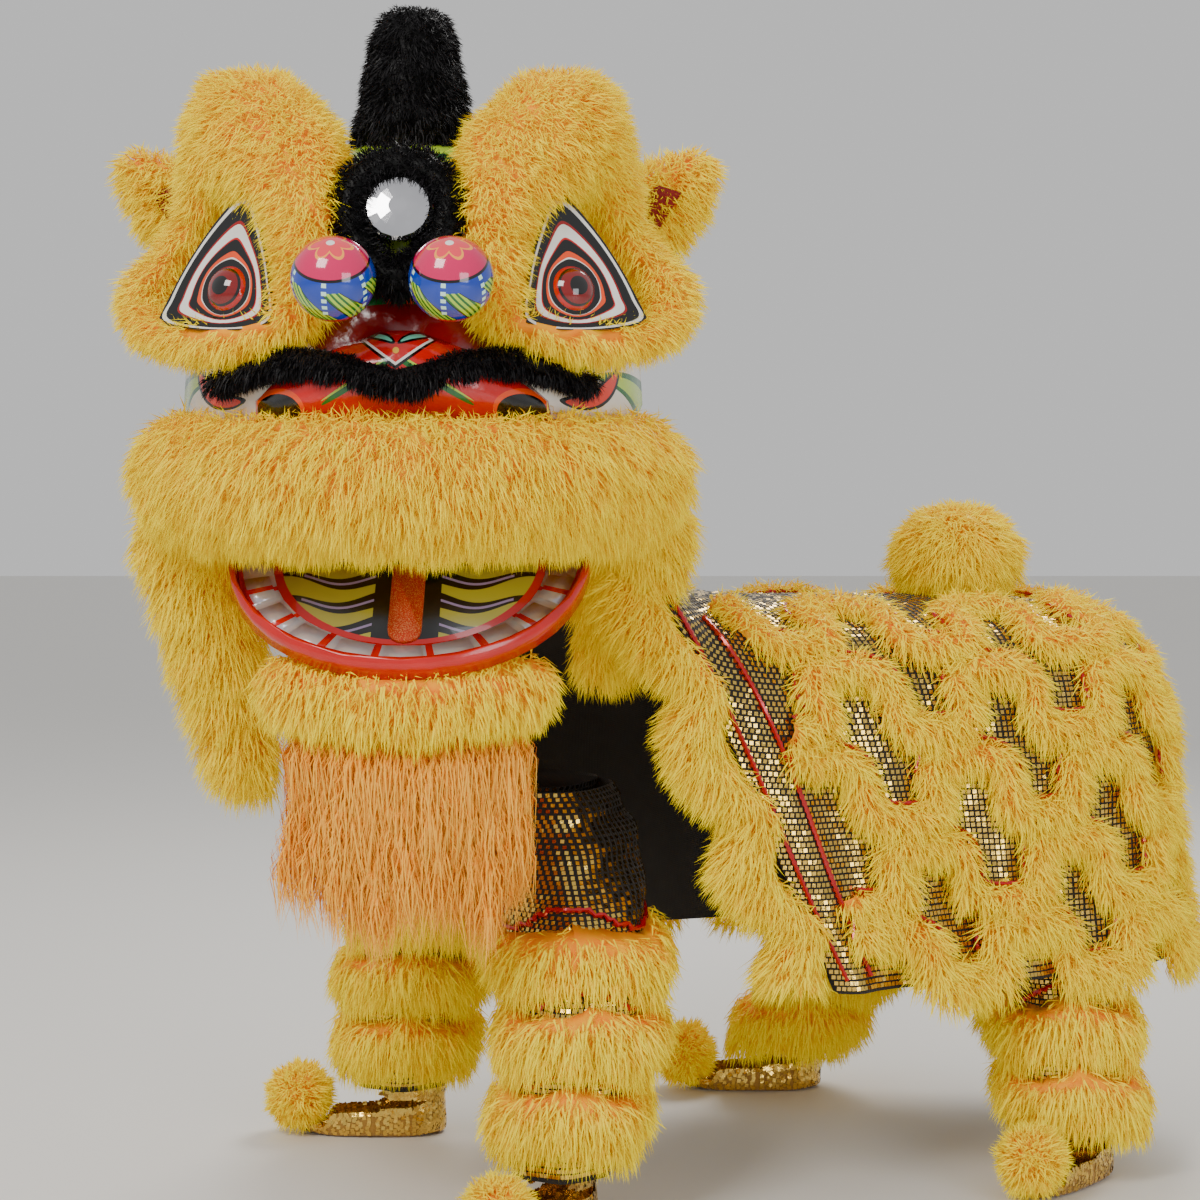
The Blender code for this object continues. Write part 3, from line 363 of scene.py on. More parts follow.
@dataclass(frozen=True)
class ClothFinish:
    """Woven cloth with a fine thread pattern."""

    name: str
    colour: tuple
    roughness: float = 0.8
    thread: float = 900.0

    def build(self) -> bpy.types.Material:
        """Material with a crossed thread relief.

        Returns:
            The material.
        """
        graph = Graph(self.name)
        across, along, rise = graph.parts(graph.place())
        warp = graph.sine((across + rise) * self.thread)
        weft = graph.sine((along - rise) * self.thread)
        cloud = graph.noise(graph.place(), 30.0)
        dark = tuple(value * 0.55 for value in self.colour[:3]) + (1.0,)
        return graph.finish(Base_Color=graph.mix(cloud, dark, self.colour), Roughness=self.roughness,
                            Normal=graph.bump(warp * weft, 0.35, 0.001), Sheen_Weight=0.2)


class Finish(Enum):
    """Materials of the costume, one for each kind of surface."""

    # every fur's root colour, darker than its tip, is painted shade deep in the pile; GOLD_FUR and
    # BEARD also carry a small painted glow, emission standing in for light scattered through the fur
    GOLD_FUR = FurFinish("gold_fur", GOLD_ROOT, GOLD_MID, GOLD_TIP, painted_glow=0.05)
    BLACK_FUR = FurFinish("black_fur", linear(0.01, 0.01, 0.012), linear(0.035, 0.03, 0.035),
                          linear(0.10, 0.09, 0.10), 0.5)
    BEARD = FurFinish("beard_hair", linear(0.95, 0.50, 0.06), linear(1.0, 0.66, 0.16),
                      linear(1.0, 0.74, 0.26), 0.42, 0.02)
    RED_PAINT = PaintFinish("red_paint", RED)
    WHITE_PAINT = PaintFinish("white_paint", WHITE)
    BLACK_PAINT = PaintFinish("black_paint", BLACK, 0.18)
    EYE_RED = PaintFinish("eye_red", linear(0.62, 0.05, 0.04), 0.1, relief=0.03)
    ORANGE_PAINT = PaintFinish("orange_paint", ORANGE)
    MIRROR = PaintFinish("mirror_glass", linear(0.86, 0.86, 0.88), 0.05, 1.0, 30.0, 0.05)
    TONGUE = PaintFinish("tongue_glitter", linear(0.88, 0.22, 0.06), 0.4, 0.1, 700.0, 0.8, 0.7)
    STEEL = PaintFinish("dark_steel", linear(0.10, 0.10, 0.11), 0.4, 0.6)
    SEQUIN = PaintFinish("gold_sequin", linear(0.93, 0.76, 0.34), 0.16, 1.0, 220.0, 0.2)
    CLOTH = ClothFinish("dark_cloth", linear(0.13, 0.10, 0.06))
    LINING = ClothFinish("grey_lining", linear(0.20, 0.20, 0.21))
    EAR_CLOTH = ClothFinish("ear_cloth", linear(0.55, 0.06, 0.07))
    SHOE_CLOTH = ClothFinish("shoe_cloth", linear(0.72, 0.52, 0.16), 0.6)
    BEADS = PaintFinish("red_beads", linear(0.75, 0.05, 0.10), 0.15, 0.3)


MADE: dict[Finish, bpy.types.Material] = {}


def finish(kind: Finish) -> bpy.types.Material:
    """The material of a finish, built once.

    Args:
        kind: which finish.

    Returns:
        The material.
    """
    if kind not in MADE:
        MADE[kind] = kind.value.build()
    return MADE[kind]


def to_piece(name: str, mesh: bpy.types.Mesh, kind: Finish | None = None) -> bpy.types.Object:
    """Link a mesh as an object at the origin.

    Args:
        name: the piece's name.
        mesh: its mesh, in the frame's own place.
        kind: its finish, or None where the mesh has materials.

    Returns:
        The object.
    """
    piece = bpy.data.objects.new(name, mesh)
    bpy.context.scene.collection.objects.link(piece)
    if kind is not None:
        mesh.materials.clear()
        mesh.materials.append(finish(kind))
    return piece


def mesh_of(name: str, builder: bmesh.types.BMesh) -> bpy.types.Mesh:
    """Turn a bmesh into a mesh, and free it.

    Args:
        name: the mesh's name.
        builder: the bmesh.

    Returns:
        The mesh, shaded smooth.
    """
    mesh = bpy.data.meshes.new(name)
    builder.to_mesh(mesh)
    builder.free()
    mesh.shade_smooth()
    return mesh


def evaluated_mesh(piece: bpy.types.Object) -> bpy.types.Mesh:
    """The mesh that a piece's modifiers make."""
    graph = bpy.context.evaluated_depsgraph_get()
    return bpy.data.meshes.new_from_object(piece.evaluated_get(graph))


def from_builder(name: str, builder: bmesh.types.BMesh, kind: Finish) -> bpy.types.Object:
    """Turn a bmesh into a piece with its faces outward.

    Args:
        name: the piece's name.
        builder: the bmesh.
        kind: its finish.

    Returns:
        The piece.
    """
    bmesh.ops.recalc_face_normals(builder, faces=builder.faces)
    mesh = mesh_of(name, builder)
    mesh.set_sharp_from_angle(angle=PIECE_EDGE)
    return to_piece(name, mesh, kind)


def merged_copy(node: str, relax: int = 0) -> bpy.types.Mesh:
    """Copy of a CAD node's mesh with its doubles merged.

    Args:
        node: the CAD node.
        relax: how many times its corners are softened.

    Returns:
        The copy.
    """
    builder = bmesh.new()
    builder.from_mesh(bpy.data.objects[node].data)
    bmesh.ops.remove_doubles(builder, verts=builder.verts, dist=MERGE_DISTANCE)
    for _ in range(relax):
        bmesh.ops.smooth_vert(builder, verts=builder.verts, factor=RELAX_SHARE, use_axis_x=True,
                              use_axis_y=True, use_axis_z=True)
    return mesh_of(node + "_copy", builder)


def tree_of(nodes: list[str]) -> BVHTree:
    """Search tree over several CAD nodes' triangles.

    Args:
        nodes: the CAD nodes' names.

    Returns:
        The search tree.
    """
    points, faces = [], []
    for node in nodes:
        mesh = bpy.data.objects[node].data
        start = len(points)
        points += [vertex.co.copy() for vertex in mesh.vertices]
        faces += [tuple(start + index for index in face.vertices) for face in mesh.polygons]
    return BVHTree.FromPolygons(points, faces)


def blade_mesh() -> bpy.types.Mesh:
    """One leaf-shaped blade of two triangles, one unit tall, with its tip value.

    Returns:
        The mesh.
    """
    points = [(0, 0, 0), (-0.5, 0.25, 0.42), (0.5, 0.25, 0.42), (0, 0, 1)]
    mesh = bpy.data.meshes.new("blade")
    mesh.from_pydata(points, [], [(0, 2, 1), (1, 2, 3)])
    tip = mesh.attributes.new("tip", "FLOAT", "POINT")
    tip.data.foreach_set("value", [0.1, 0.5, 0.5, 1.0])
    return mesh


class GeometryTree(NodeMaker):
    """A Geometry Nodes tree under construction."""

    def __init__(self, name: str, inputs: dict[str, str]) -> None:
        """Start a tree with named inputs.

        Args:
            name: the tree's name.
            inputs: input name to the last word of its socket type.
        """
        self.tree = bpy.data.node_groups.new(name, "GeometryNodeTree")
        self.ids = {}
        for label, kind in {"Geometry": "Geometry", **inputs, "Material": "Material"}.items():
            socket = self.tree.interface.new_socket(label, in_out="INPUT",
                                                    socket_type="NodeSocket" + kind)
            self.ids[label] = socket.identifier
        self.tree.interface.new_socket("Geometry", in_out="OUTPUT", socket_type="NodeSocketGeometry")
        self.start = self.tree.nodes.new("NodeGroupInput")
        self.end = self.tree.nodes.new("NodeGroupOutput")

    def vector(self, operation: str, *values: object, scale: object = None) -> bpy.types.NodeSocket:
        """Vector Math node's result.

        Args:
            operation: the node's operation.
            values: what it works on.
            scale: its scale, where it has one.

        Returns:
            The result.
        """
        fed = dict(enumerate(values))
        if scale is not None:
            fed["Scale"] = scale
        return self.node("ShaderNodeVectorMath", {"operation": operation}, fed).outputs[0]

    def product(self, first: object, second: object) -> bpy.types.NodeSocket:
        """Product of two numbers."""
        return self.node("ShaderNodeMath", {"operation": "MULTIPLY"}, {0: first, 1: second}).outputs[0]

    def input(self, label: str) -> bpy.types.NodeSocket:
        """Socket of a named input."""
        return self.start.outputs[label]

    def named(self, name: str, kind: str) -> bpy.types.NodeSocket:
        """Value of a stored attribute."""
        return self.node("GeometryNodeInputNamedAttribute", {"data_type": kind},
                         {"Name": name}).outputs["Attribute"]

    def random(self, reach: float, seed: int) -> bpy.types.NodeSocket:
        """Random vector for each point, within a reach each way."""
        return self.node("FunctionNodeRandomValue", {"data_type": "FLOAT_VECTOR"},
                         {0: (-reach,) * 3, 1: (reach,) * 3, "Seed": seed}).outputs[0]

    def copies(self, pattern: str, **values: object) -> bpy.types.NodeSocket:
        """Real copies of a pattern object.

        Args:
            pattern: the input that holds the object.
            values: the points, rotation and scale of the copies.

        Returns:
            Their geometry.
        """
        source = self.node("GeometryNodeObjectInfo", None, {"Object": self.input(pattern)})
        placed = self.node("GeometryNodeInstanceOnPoints", None,
                           {"Instance": source.outputs["Geometry"], **values})
        real = self.node("GeometryNodeRealizeInstances", None, {"Geometry": placed.outputs[0]})
        return real.outputs[0]

    def close(self, geometry: bpy.types.NodeSocket) -> None:
        """Paint the geometry and send it out.

        Args:
            geometry: what the tree has made.
        """
        painted = self.node("GeometryNodeSetMaterial", None,
                            {"Geometry": geometry, "Material": self.input("Material")})
        self.tree.links.new(painted.outputs[0], self.end.inputs[0])

    def apply(self, piece: bpy.types.Object, kind: Finish, values: dict[str, object]) -> None:
        """Give a piece the mesh that the tree makes of it.

        Args:
            piece: the piece.
            kind: its finish.
            values: input name to value, without the material.
        """
        modifier = piece.modifiers.new("tree", "NODES")
        modifier.node_group = self.tree
        for label, value in {**values, "Material": finish(kind)}.items():
            modifier[self.ids[label]] = value
        made = evaluated_mesh(piece)
        piece.modifiers.remove(modifier)
        piece.data = made
        made.materials.clear()
        made.materials.append(finish(kind))


class FurTree(GeometryTree):
    """Blades scattered over a form, combed, clumped and drooping."""

    def __init__(self) -> None:
        """Build the tree once for every fur piece."""
        super().__init__("fur_blades", {
            "Density": "Float", "Length": "Float", "Width": "Float", "Comb": "Vector",
            "Droop": "Vector", "Clump": "Float", "Seed": "Int", "Blade": "Object"})
        dense = self.product(self.input("Density"), self.named("grow", "FLOAT"))
        points = self.node("GeometryNodeDistributePointsOnFaces", None,
                           {"Mesh": self.input("Geometry"), "Density": dense,
                            "Seed": self.input("Seed")})
        spot = self.node("GeometryNodeInputPosition").outputs[0]
        stored = self.node("GeometryNodeStoreNamedAttribute", {"data_type": "FLOAT_VECTOR"},
                           {"Geometry": points.outputs["Points"], "Name": "root", "Value": spot})
        way = self.vector("ADD", self.vector("ADD", points.outputs["Normal"], self.input("Comb")),
                          self.random(BLADE_SPREAD, 1))
        spin = self.node("FunctionNodeRandomValue", {"data_type": "FLOAT_VECTOR"},
                         {0: (0, 0, 0), 1: (0, 0, FULL_TURN), "Seed": 2}).outputs[0]
        turned = self.node("FunctionNodeAlignRotationToVector", {"axis": "Z"},
                           {"Rotation": spin, "Vector": way})
        tall = self.node("FunctionNodeRandomValue", {"data_type": "FLOAT"},
                         dict(zip((2, 3), BLADE_SHARES)))
        length = self.product(self.input("Length"), tall.outputs[1])
        size = self.node("ShaderNodeCombineXYZ", None,
                         {0: self.input("Width"), 1: self.input("Length"), 2: length})
        blades = self.copies("Blade", Points=stored.outputs[0], Rotation=turned.outputs[0],
                             Scale=size.outputs[0])
        bent = self.node("GeometryNodeSetPosition", None, {"Geometry": blades, "Offset": self.bend()})
        both = self.node("GeometryNodeJoinGeometry")
        self.tree.links.new(bent.outputs[0], both.inputs[0])
        self.tree.links.new(self.input("Geometry"), both.inputs[0])
        self.close(both.outputs[0])

    def bend(self) -> bpy.types.NodeSocket:
        """Offset that droops a blade by the square of its tip value and gathers it in clumps.

        Returns:
            The offset.
        """
        tip = self.named("tip", "FLOAT")
        root = self.named("root", "FLOAT_VECTOR")
        cloud = self.node("ShaderNodeTexNoise", None,
                          {"Vector": root, "Scale": CLUMP_SCALE, "Detail": 1.0})
        centred = self.vector("SUBTRACT", cloud.outputs["Color"], (0.5, 0.5, 0.5))
        gather = self.vector("SCALE", centred, scale=self.product(tip, self.input("Clump")))
        fall = self.vector("SCALE", self.input("Droop"), scale=self.product(tip, tip))
        return self.vector("ADD", gather, fall)


@dataclass
class Fur:
    """One fur form dressed in blades.

    Args:
        node: the CAD node that it stands for.
        blades: how many blades.
        length: blade length.
        width: blade width at the root.
        comb: lean of the blades, added to the surface's direction.
        droop: fall of the tips.
        clump: how far blades gather into tufts.
        kind: the finish.
        slot: the record's slot.
        body: the body that it rides on.
        seed: seed of its scatter.
        relax: how often the form is softened.
        form: its own form, or None for the node's.
        stands: whether it stands for the node, or is added near it.
    """

    node: str
    blades: int
    length: float = 0.026
    width: float = 0.0026
    comb: tuple = (0.0, 0.0, -0.5)
    droop: tuple = (0.0, 0.0, -0.010)
    clump: float = 0.030
    kind: Finish = Finish.GOLD_FUR
    slot: str = "gold_fur"
    body: str = HEAD_BODY
    seed: int = 1
    relax: int = 1
    form: bpy.types.Mesh | None = None
    stands: bool = True


class FurWorks:
    """Grows every fur piece with one shared tree and blade."""

    def __init__(self) -> None:
        """Make the tree and the blade."""
        self.tree = FurTree()
        self.blade = to_piece("blade_pattern", blade_mesh())

    def mark_growth(self, mesh: bpy.types.Mesh, node: str) -> float:
        """Mark the faces that blades grow on, which are clear of the neighbours.

        Args:
            mesh: the form's mesh.
            node: its CAD node.

        Returns:
            The area that is marked.
        """
        others = tree_of([name for name in frame["nodes"] if name != node])
        grow = mesh.attributes.new("grow", "FLOAT", "FACE")
        area = 0.0
        for face in mesh.polygons:
            clear = others.find_nearest(face.center, BARE_GAP)[0] is None
            grow.data[face.index].value = float(clear)
            area += face.area if clear else 0.0
        return max(area, 1e-4)

    def grow(self, fur: Fur) -> None:
        """Dress one form.

        Args:
            fur: what to grow.
        """
        mesh = fur.form or merged_copy(fur.node, fur.relax)
        area = self.mark_growth(mesh, fur.node)
        piece = to_piece(fur.node + ("_fur" if fur.stands else "_collar"), mesh, fur.kind)
        blades = fur.blades
        self.tree.apply(piece, fur.kind, {
            "Density": blades / area, "Length": fur.length, "Width": fur.width, "Comb": fur.comb,
            "Droop": fur.droop, "Clump": fur.clump, "Seed": fur.seed, "Blade": self.blade})
        dress(piece, fur.body, fur.slot, *([fur.node] if fur.stands else []))

    def done(self) -> None:
        """Remove the pattern blade."""
        bpy.data.objects.remove(self.blade, do_unlink=True)


def dress(piece: bpy.types.Object, body: str, slot: str, *nodes: str) -> bpy.types.Object:
    """Ride a piece on its body and hide the CAD nodes that it replaces.

    Args:
        piece: the piece.
        body: the body that it rides on.
        slot: not used.
        nodes: the CAD nodes that it replaces.

    Returns:
        The piece.
    """
    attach(piece, body)
    if nodes:
        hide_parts(*nodes)
    LOG.info("%s on %s: %d faces", piece.name, body, len(piece.data.polygons))
    return piece


def repaint(node: str, kind: Finish) -> None:
    """Give a CAD node that stays a better material.

    Args:
        node: the CAD node.
        kind: its finish.
    """
    mesh = bpy.data.objects[node].data
    for index in range(max(1, len(mesh.materials))):
        if index < len(mesh.materials):
            mesh.materials[index] = finish(kind)
        else:
            mesh.materials.append(finish(kind))


BODY_YAW = math.radians(20.0)
ALONG = Vector((math.cos(BODY_YAW), math.sin(BODY_YAW), 0.0))
NEAR = Vector((math.sin(BODY_YAW), -math.cos(BODY_YAW), 0.0))
BODY_START = Vector((0.10, 0.12, 0.0))
FLOOR_Z = -0.955
ANKLE_Z = -0.8796
KNEE_Z = -0.645
CORE_Z = -0.6


def body_point(along: float, near: float, height: float) -> Vector:
    """Place from a distance along and across the body."""
    return BODY_START + ALONG * along + NEAR * near + Vector((0, 0, height))


def body_middle(place: Vector) -> Vector:
    """Point inside the body, level with a place along it."""
    return body_point((place - body_point(0.0, 0.0, 0.0)).dot(ALONG), 0.0, CORE_Z)


def outward(facing: Vector, place: Vector, middle: Vector) -> Vector:
    """A facing, turned away from a middle."""
    return -facing if facing.dot(place - middle) < 0 else facing


def eased(rows: tuple, at: float) -> list[float]:
    """Smooth reading of a table whose first column rises.

    Args:
        rows: the table.
        at: place in its first column.

    Returns:
        The other columns' values there.
    """
    keys = [row[0] for row in rows]
    index = min(max(sum(key <= at for key in keys) - 1, 0), len(rows) - 2)
    share = min(max((at - keys[index]) / (keys[index + 1] - keys[index]), 0.0), 1.0)
    near = [min(max(index + step, 0), len(rows) - 1) for step in (-1, 0, 1, 2)]
    spans = [keys[row] for row in near]
    width = spans[2] - spans[1]
    square, cube = share * share, share ** 3
    made = []
    for column in range(1, len(rows[0])):
        values = [rows[row][column] for row in near]
        start = (values[2] - values[0]) / max(spans[2] - spans[0], 1e-6) * width
        end = (values[3] - values[1]) / max(spans[3] - spans[1], 1e-6) * width
        made.append(values[1] * (2 * cube - 3 * square + 1) + start * (cube - 2 * square + share)
                    + values[2] * (3 * square - 2 * cube) + end * (cube - square))
    return made


@dataclass(frozen=True)
class Drape:
    """The cloth over the rear wearer, as a surface of two shares."""

    half_width: float = 0.285
    length: float = 1.075
    back: float = -0.125
    hem: float = -0.66
    waves: int = 7
    fold: float = 0.030
    crease: float = 0.006
    front: float = 0.06
    near_lean: float = 0.34
    far_lean: float = 0.11
    near_end: float = 0.4
    far_start: float = 0.6
    levels: tuple = ((0.0, 0.0, 0.0), (0.12, 0.42, 0.025), (0.25, 0.76, 0.10), (0.38, 0.93, 0.24),
                     (0.55, 1.0, 0.45), (0.78, 1.03, 0.74), (1.0, 1.10, 1.0))
    spine: tuple = ((0.0, 0.178), (0.06, 0.178), (0.14, 0.10), (0.24, 0.02), (0.5, 0.0),
                    (0.72, -0.005), (1.0, -0.030))

    def point(self, u: float, v: float, out: float = 0.0) -> Vector:
        """Place on the cloth.

        Args:
            u: share of the way round, near side, rump, far side.
            v: share of the way from the ridge to the hem.
            out: distance outward.

        Returns:
            The place.
        """
        level = eased(self.levels, v)
        width = self.half_width * level[0]
        centre = self.length - self.half_width * 1.10
        if u < self.near_end:
            front = self.front + self.near_lean * v ** 0.8
            along, way = front + (centre - front) * u / self.near_end, (0.0, 1.0)
        elif u > self.far_start:
            front = self.front + self.far_lean * v ** 0.8
            along, way = front + (centre - front) * (1.0 - u) / self.near_end, (0.0, -1.0)
        else:
            turn = math.pi * (u - self.near_end) / 0.2
            along, way = centre, (math.sin(turn), math.cos(turn))
        top = self.back + eased(self.spine, max(along, 0.0) / self.length)[0]
        fold = 1.0 + self.fold * v * math.sin(u * 2 * math.pi * self.waves)
        fold += self.crease * v * math.sin(u * 95.0 + v * 5.0)
        reach = width * fold + out * min(1.0, 0.3 + level[0])
        rise = out * (1.0 - level[0]) if level[0] < 1 else 0.0
        return body_point(along + reach * way[0], reach * way[1],
                          top + (self.hem - top) * level[1] + rise)

    def grid(self, columns: int, rows: int, out: float) -> list[list[Vector]]:
        """Rows of places over the whole cloth."""
        return [[self.point(column / columns, row / rows, out) for column in range(columns + 1)]
                for row in range(rows + 1)]


LEGS = {
    "front_right": ((0.07, 0.085), (0.055, 0.235), (0.005, 0.279)),
    "front_left": ((0.02, -0.085), (-0.05, -0.225), (-0.061, -0.272)),
    "rear_right": ((0.76, 0.075), (0.80, 0.195), (0.79, 0.300)),
    "rear_left": ((0.72, -0.075), (0.68, -0.200), (0.60, -0.335)),
}
TIER_HEIGHT = 0.085
TIERS = {"front": (0.41, 0.61, 0.82), "rear": (0.73, 0.90)}


@dataclass(frozen=True)
class Leg:
    """One trouser leg, as a surface of two shares."""

    name: str
    radii: tuple = (0.1188, 0.1155, 0.082, 0.073, 0.064)
    hip_drop: float = 0.09
    sit: float = 0.35

    def rows(self) -> list[tuple]:
        """Share of the way down with place and radius.

        Returns:
            The rows, from the waist to the ankle.
        """
        hip, knee, foot = LEGS[self.name]
        pair, side = self.name.split("_")
        other = LEGS[pair + ("_left" if side == "right" else "_right")][0]
        top = WAIST[pair]
        spots = (body_point((hip[0] + other[0]) / 2, hip[1] * self.sit, top),
                 body_point(*hip, top - self.hip_drop),
                 body_point(*knee, KNEE_Z),
                 body_point((knee[0] + foot[0]) / 2, (knee[1] + foot[1]) / 2,
                            (KNEE_Z + ANKLE_Z) / 2),
                 body_point(*foot, ANKLE_Z))
        return [(index / 4, *spot, radius)
                for index, (spot, radius) in enumerate(zip(spots, self.radii))]

    def point(self, turn: float, share: float, out: float = 0.0) -> Vector:
        """Place on the leg at an angle and a share of the way down.

        Args:
            turn: angle round the leg.
            share: share of the way down.
            out: distance outward.

        Returns:
            The place.
        """
        x, y, z, radius = eased(tuple(self.rows()), share)
        crease = 0.0035 * math.sin(turn * 5 + share * 9) + 0.003 * math.sin(share * 46 + turn * 2)
        reach = radius + crease - 0.002 + out
        return Vector((x + reach * math.cos(turn), y + reach * math.sin(turn), z))


def sheet_mesh(name: str, rows: list[list[Vector]], closed: bool = False) -> bpy.types.Mesh:
    """Smooth open surface through rows of places.

    Args:
        name: the mesh's name.
        rows: rows of places, all of one length.
        closed: whether each row closes on itself.

    Returns:
        The mesh.
    """
    count = len(rows[0])
    points = [place for row in rows for place in row]
    faces = []
    for row in range(len(rows) - 1):
        for column in range(count if closed else count - 1):
            after = (column + 1) % count
            faces.append((row * count + column, row * count + after,
                          (row + 1) * count + after, (row + 1) * count + column))
    mesh = bpy.data.meshes.new(name)
    mesh.from_pydata(points, [], faces)
    mesh.shade_smooth()
    return mesh


def area_of(mesh: bpy.types.Mesh) -> float:
    """Whole area of a mesh's faces."""
    return sum(face.area for face in mesh.polygons)


class SequinTree(GeometryTree):
    """Small plates set on points, each turned to its cloth."""

    def __init__(self) -> None:
        """Build the tree once for every cloth."""
        super().__init__("sequin_plates", {"Size": "Float", "Plate": "Object"})
        points = self.node("GeometryNodeMeshToPoints", None, {"Mesh": self.input("Geometry")})
        way = self.vector("ADD", self.named("facing", "FLOAT_VECTOR"), self.random(SEQUIN_TILT, 0))
        first = self.node("FunctionNodeAlignRotationToVector", {"axis": "X"},
                          {"Vector": self.named("along", "FLOAT_VECTOR")})
        turned = self.node("FunctionNodeAlignRotationToVector", {"axis": "Z"},
                           {"Rotation": first.outputs[0], "Vector": way})
        size = self.node("ShaderNodeCombineXYZ", None, dict.fromkeys(range(3), self.input("Size")))
        self.close(self.copies("Plate", Points=points.outputs[0], Rotation=turned.outputs[0],
                               Scale=size.outputs[0]))


class SequinWorks:
    """Sets sequins over cloth in a regular grid."""

    def __init__(self) -> None:
        """Make the tree and the plate."""
        self.tree = SequinTree()
        mesh = bpy.data.meshes.new("plate")
        mesh.from_pydata([(-0.5, -0.5, 0), (0.5, -0.5, 0), (0.5, 0.5, 0), (-0.5, 0.5, 0)], [],
                         [(0, 1, 2, 3)])
        self.plate = to_piece("sequin_pattern", mesh)

    def sew(self, name: str, spots: list[tuple[Vector, Vector, Vector]], size: float,
            slot: str = "sequin_cloth") -> None:
        """Set plates on spots.

        Args:
            name: the piece's name.
            spots: place, facing and along of each plate.
            size: the plate's width.
            slot: the record's slot.
        """
        mesh = bpy.data.meshes.new(name)
        mesh.from_pydata([spot[0] for spot in spots], [], [])
        for label, column in (("facing", 1), ("along", 2)):
            made = mesh.attributes.new(label, "FLOAT_VECTOR", "POINT")
            made.data.foreach_set("vector", [value for spot in spots for value in spot[column]])
        piece = to_piece(name, mesh, Finish.SEQUIN)
        self.tree.apply(piece, Finish.SEQUIN, {"Size": size, "Plate": self.plate})
        dress(piece, HEAD_BODY, slot)

    def done(self) -> None:
        """Remove the pattern plate."""
        bpy.data.objects.remove(self.plate, do_unlink=True)


def facings(rows: list[list[Vector]], row: int, column: int, closed: bool) -> tuple[Vector, Vector]:
    """Facing and along of a grid place, from its neighbours.

    Args:
        rows: the grid.
        row: the place's row.
        column: its column.
        closed: whether each row closes on itself.

    Returns:
        The facing and the along.
    """
    count = len(rows[0])
    if closed:
        before, after = (column - 1) % count, (column + 1) % count
    else:
        before, after = max(column - 1, 0), min(column + 1, count - 1)
    along = rows[row][after] - rows[row][before]
    down = rows[min(row + 1, len(rows) - 1)][column] - rows[max(row - 1, 0)][column]
    return along.cross(down).normalized(), along.normalized()


def even_shares(curve: Callable[[float], Vector], start: float, end: float, step: float,
                samples: int = 600) -> list[float]:
    """Shares along a curve at even distances.

    Args:
        curve: function from a share to a place.
        start: first share.
        end: last share.
        step: the distance.
        samples: how finely the curve is read.

    Returns:
        The shares.
    """
    shares = [start + (end - start) * index / samples for index in range(samples + 1)]
    places = [curve(share) for share in shares]
    made, gone = [shares[0]], 0.0
    for index in range(1, len(places)):
        gone += (places[index] - places[index - 1]).length
        if gone >= step:
            made.append(shares[index])
            gone -= step
    return made


def tube(name: str, places: list[Vector], radius: float, kind: Finish, sides: int = 6,
         bead: float = 0.0, closed: bool = False) -> bpy.types.Object:
    """Round strip along places, swelling into beads where bead is set.

    Args:
        name: the piece's name.
        places: the centre line.
        radius: the widest radius.
        kind: its finish.
        sides: sides of the strip.
        bead: how much every second ring draws in.
        closed: whether it closes on itself.

    Returns:
        The piece.
    """
    builder = bmesh.new()
    rings = []
    count = len(places)
    for index, place in enumerate(places):
        before = places[index - 1 if index or closed else 0]
        after = places[(index + 1) % count if closed else min(index + 1, count - 1)]
        ahead = (after - before).normalized()
        side = ahead.cross(Vector((0, 0, 1)))
        side = side.normalized() if side.length > 1e-4 else Vector((1, 0, 0))
        rise = side.cross(ahead)
        reach = radius * (1.0 - bead * (index % 2))
        turns = (2 * math.pi * step / sides for step in range(sides))
        rings.append([builder.verts.new(place + side * reach * math.cos(turn)
                                        + rise * reach * math.sin(turn)) for turn in turns])
    for index in range(count if closed else count - 1):
        low, high = rings[index], rings[(index + 1) % count]
        for step in range(sides):
            after = (step + 1) % sides
            builder.faces.new((low[step], low[after], high[after], high[step]))
    if not closed:
        builder.faces.new(rings[0])
        builder.faces.new(rings[-1])
    return from_builder(name, builder, kind)


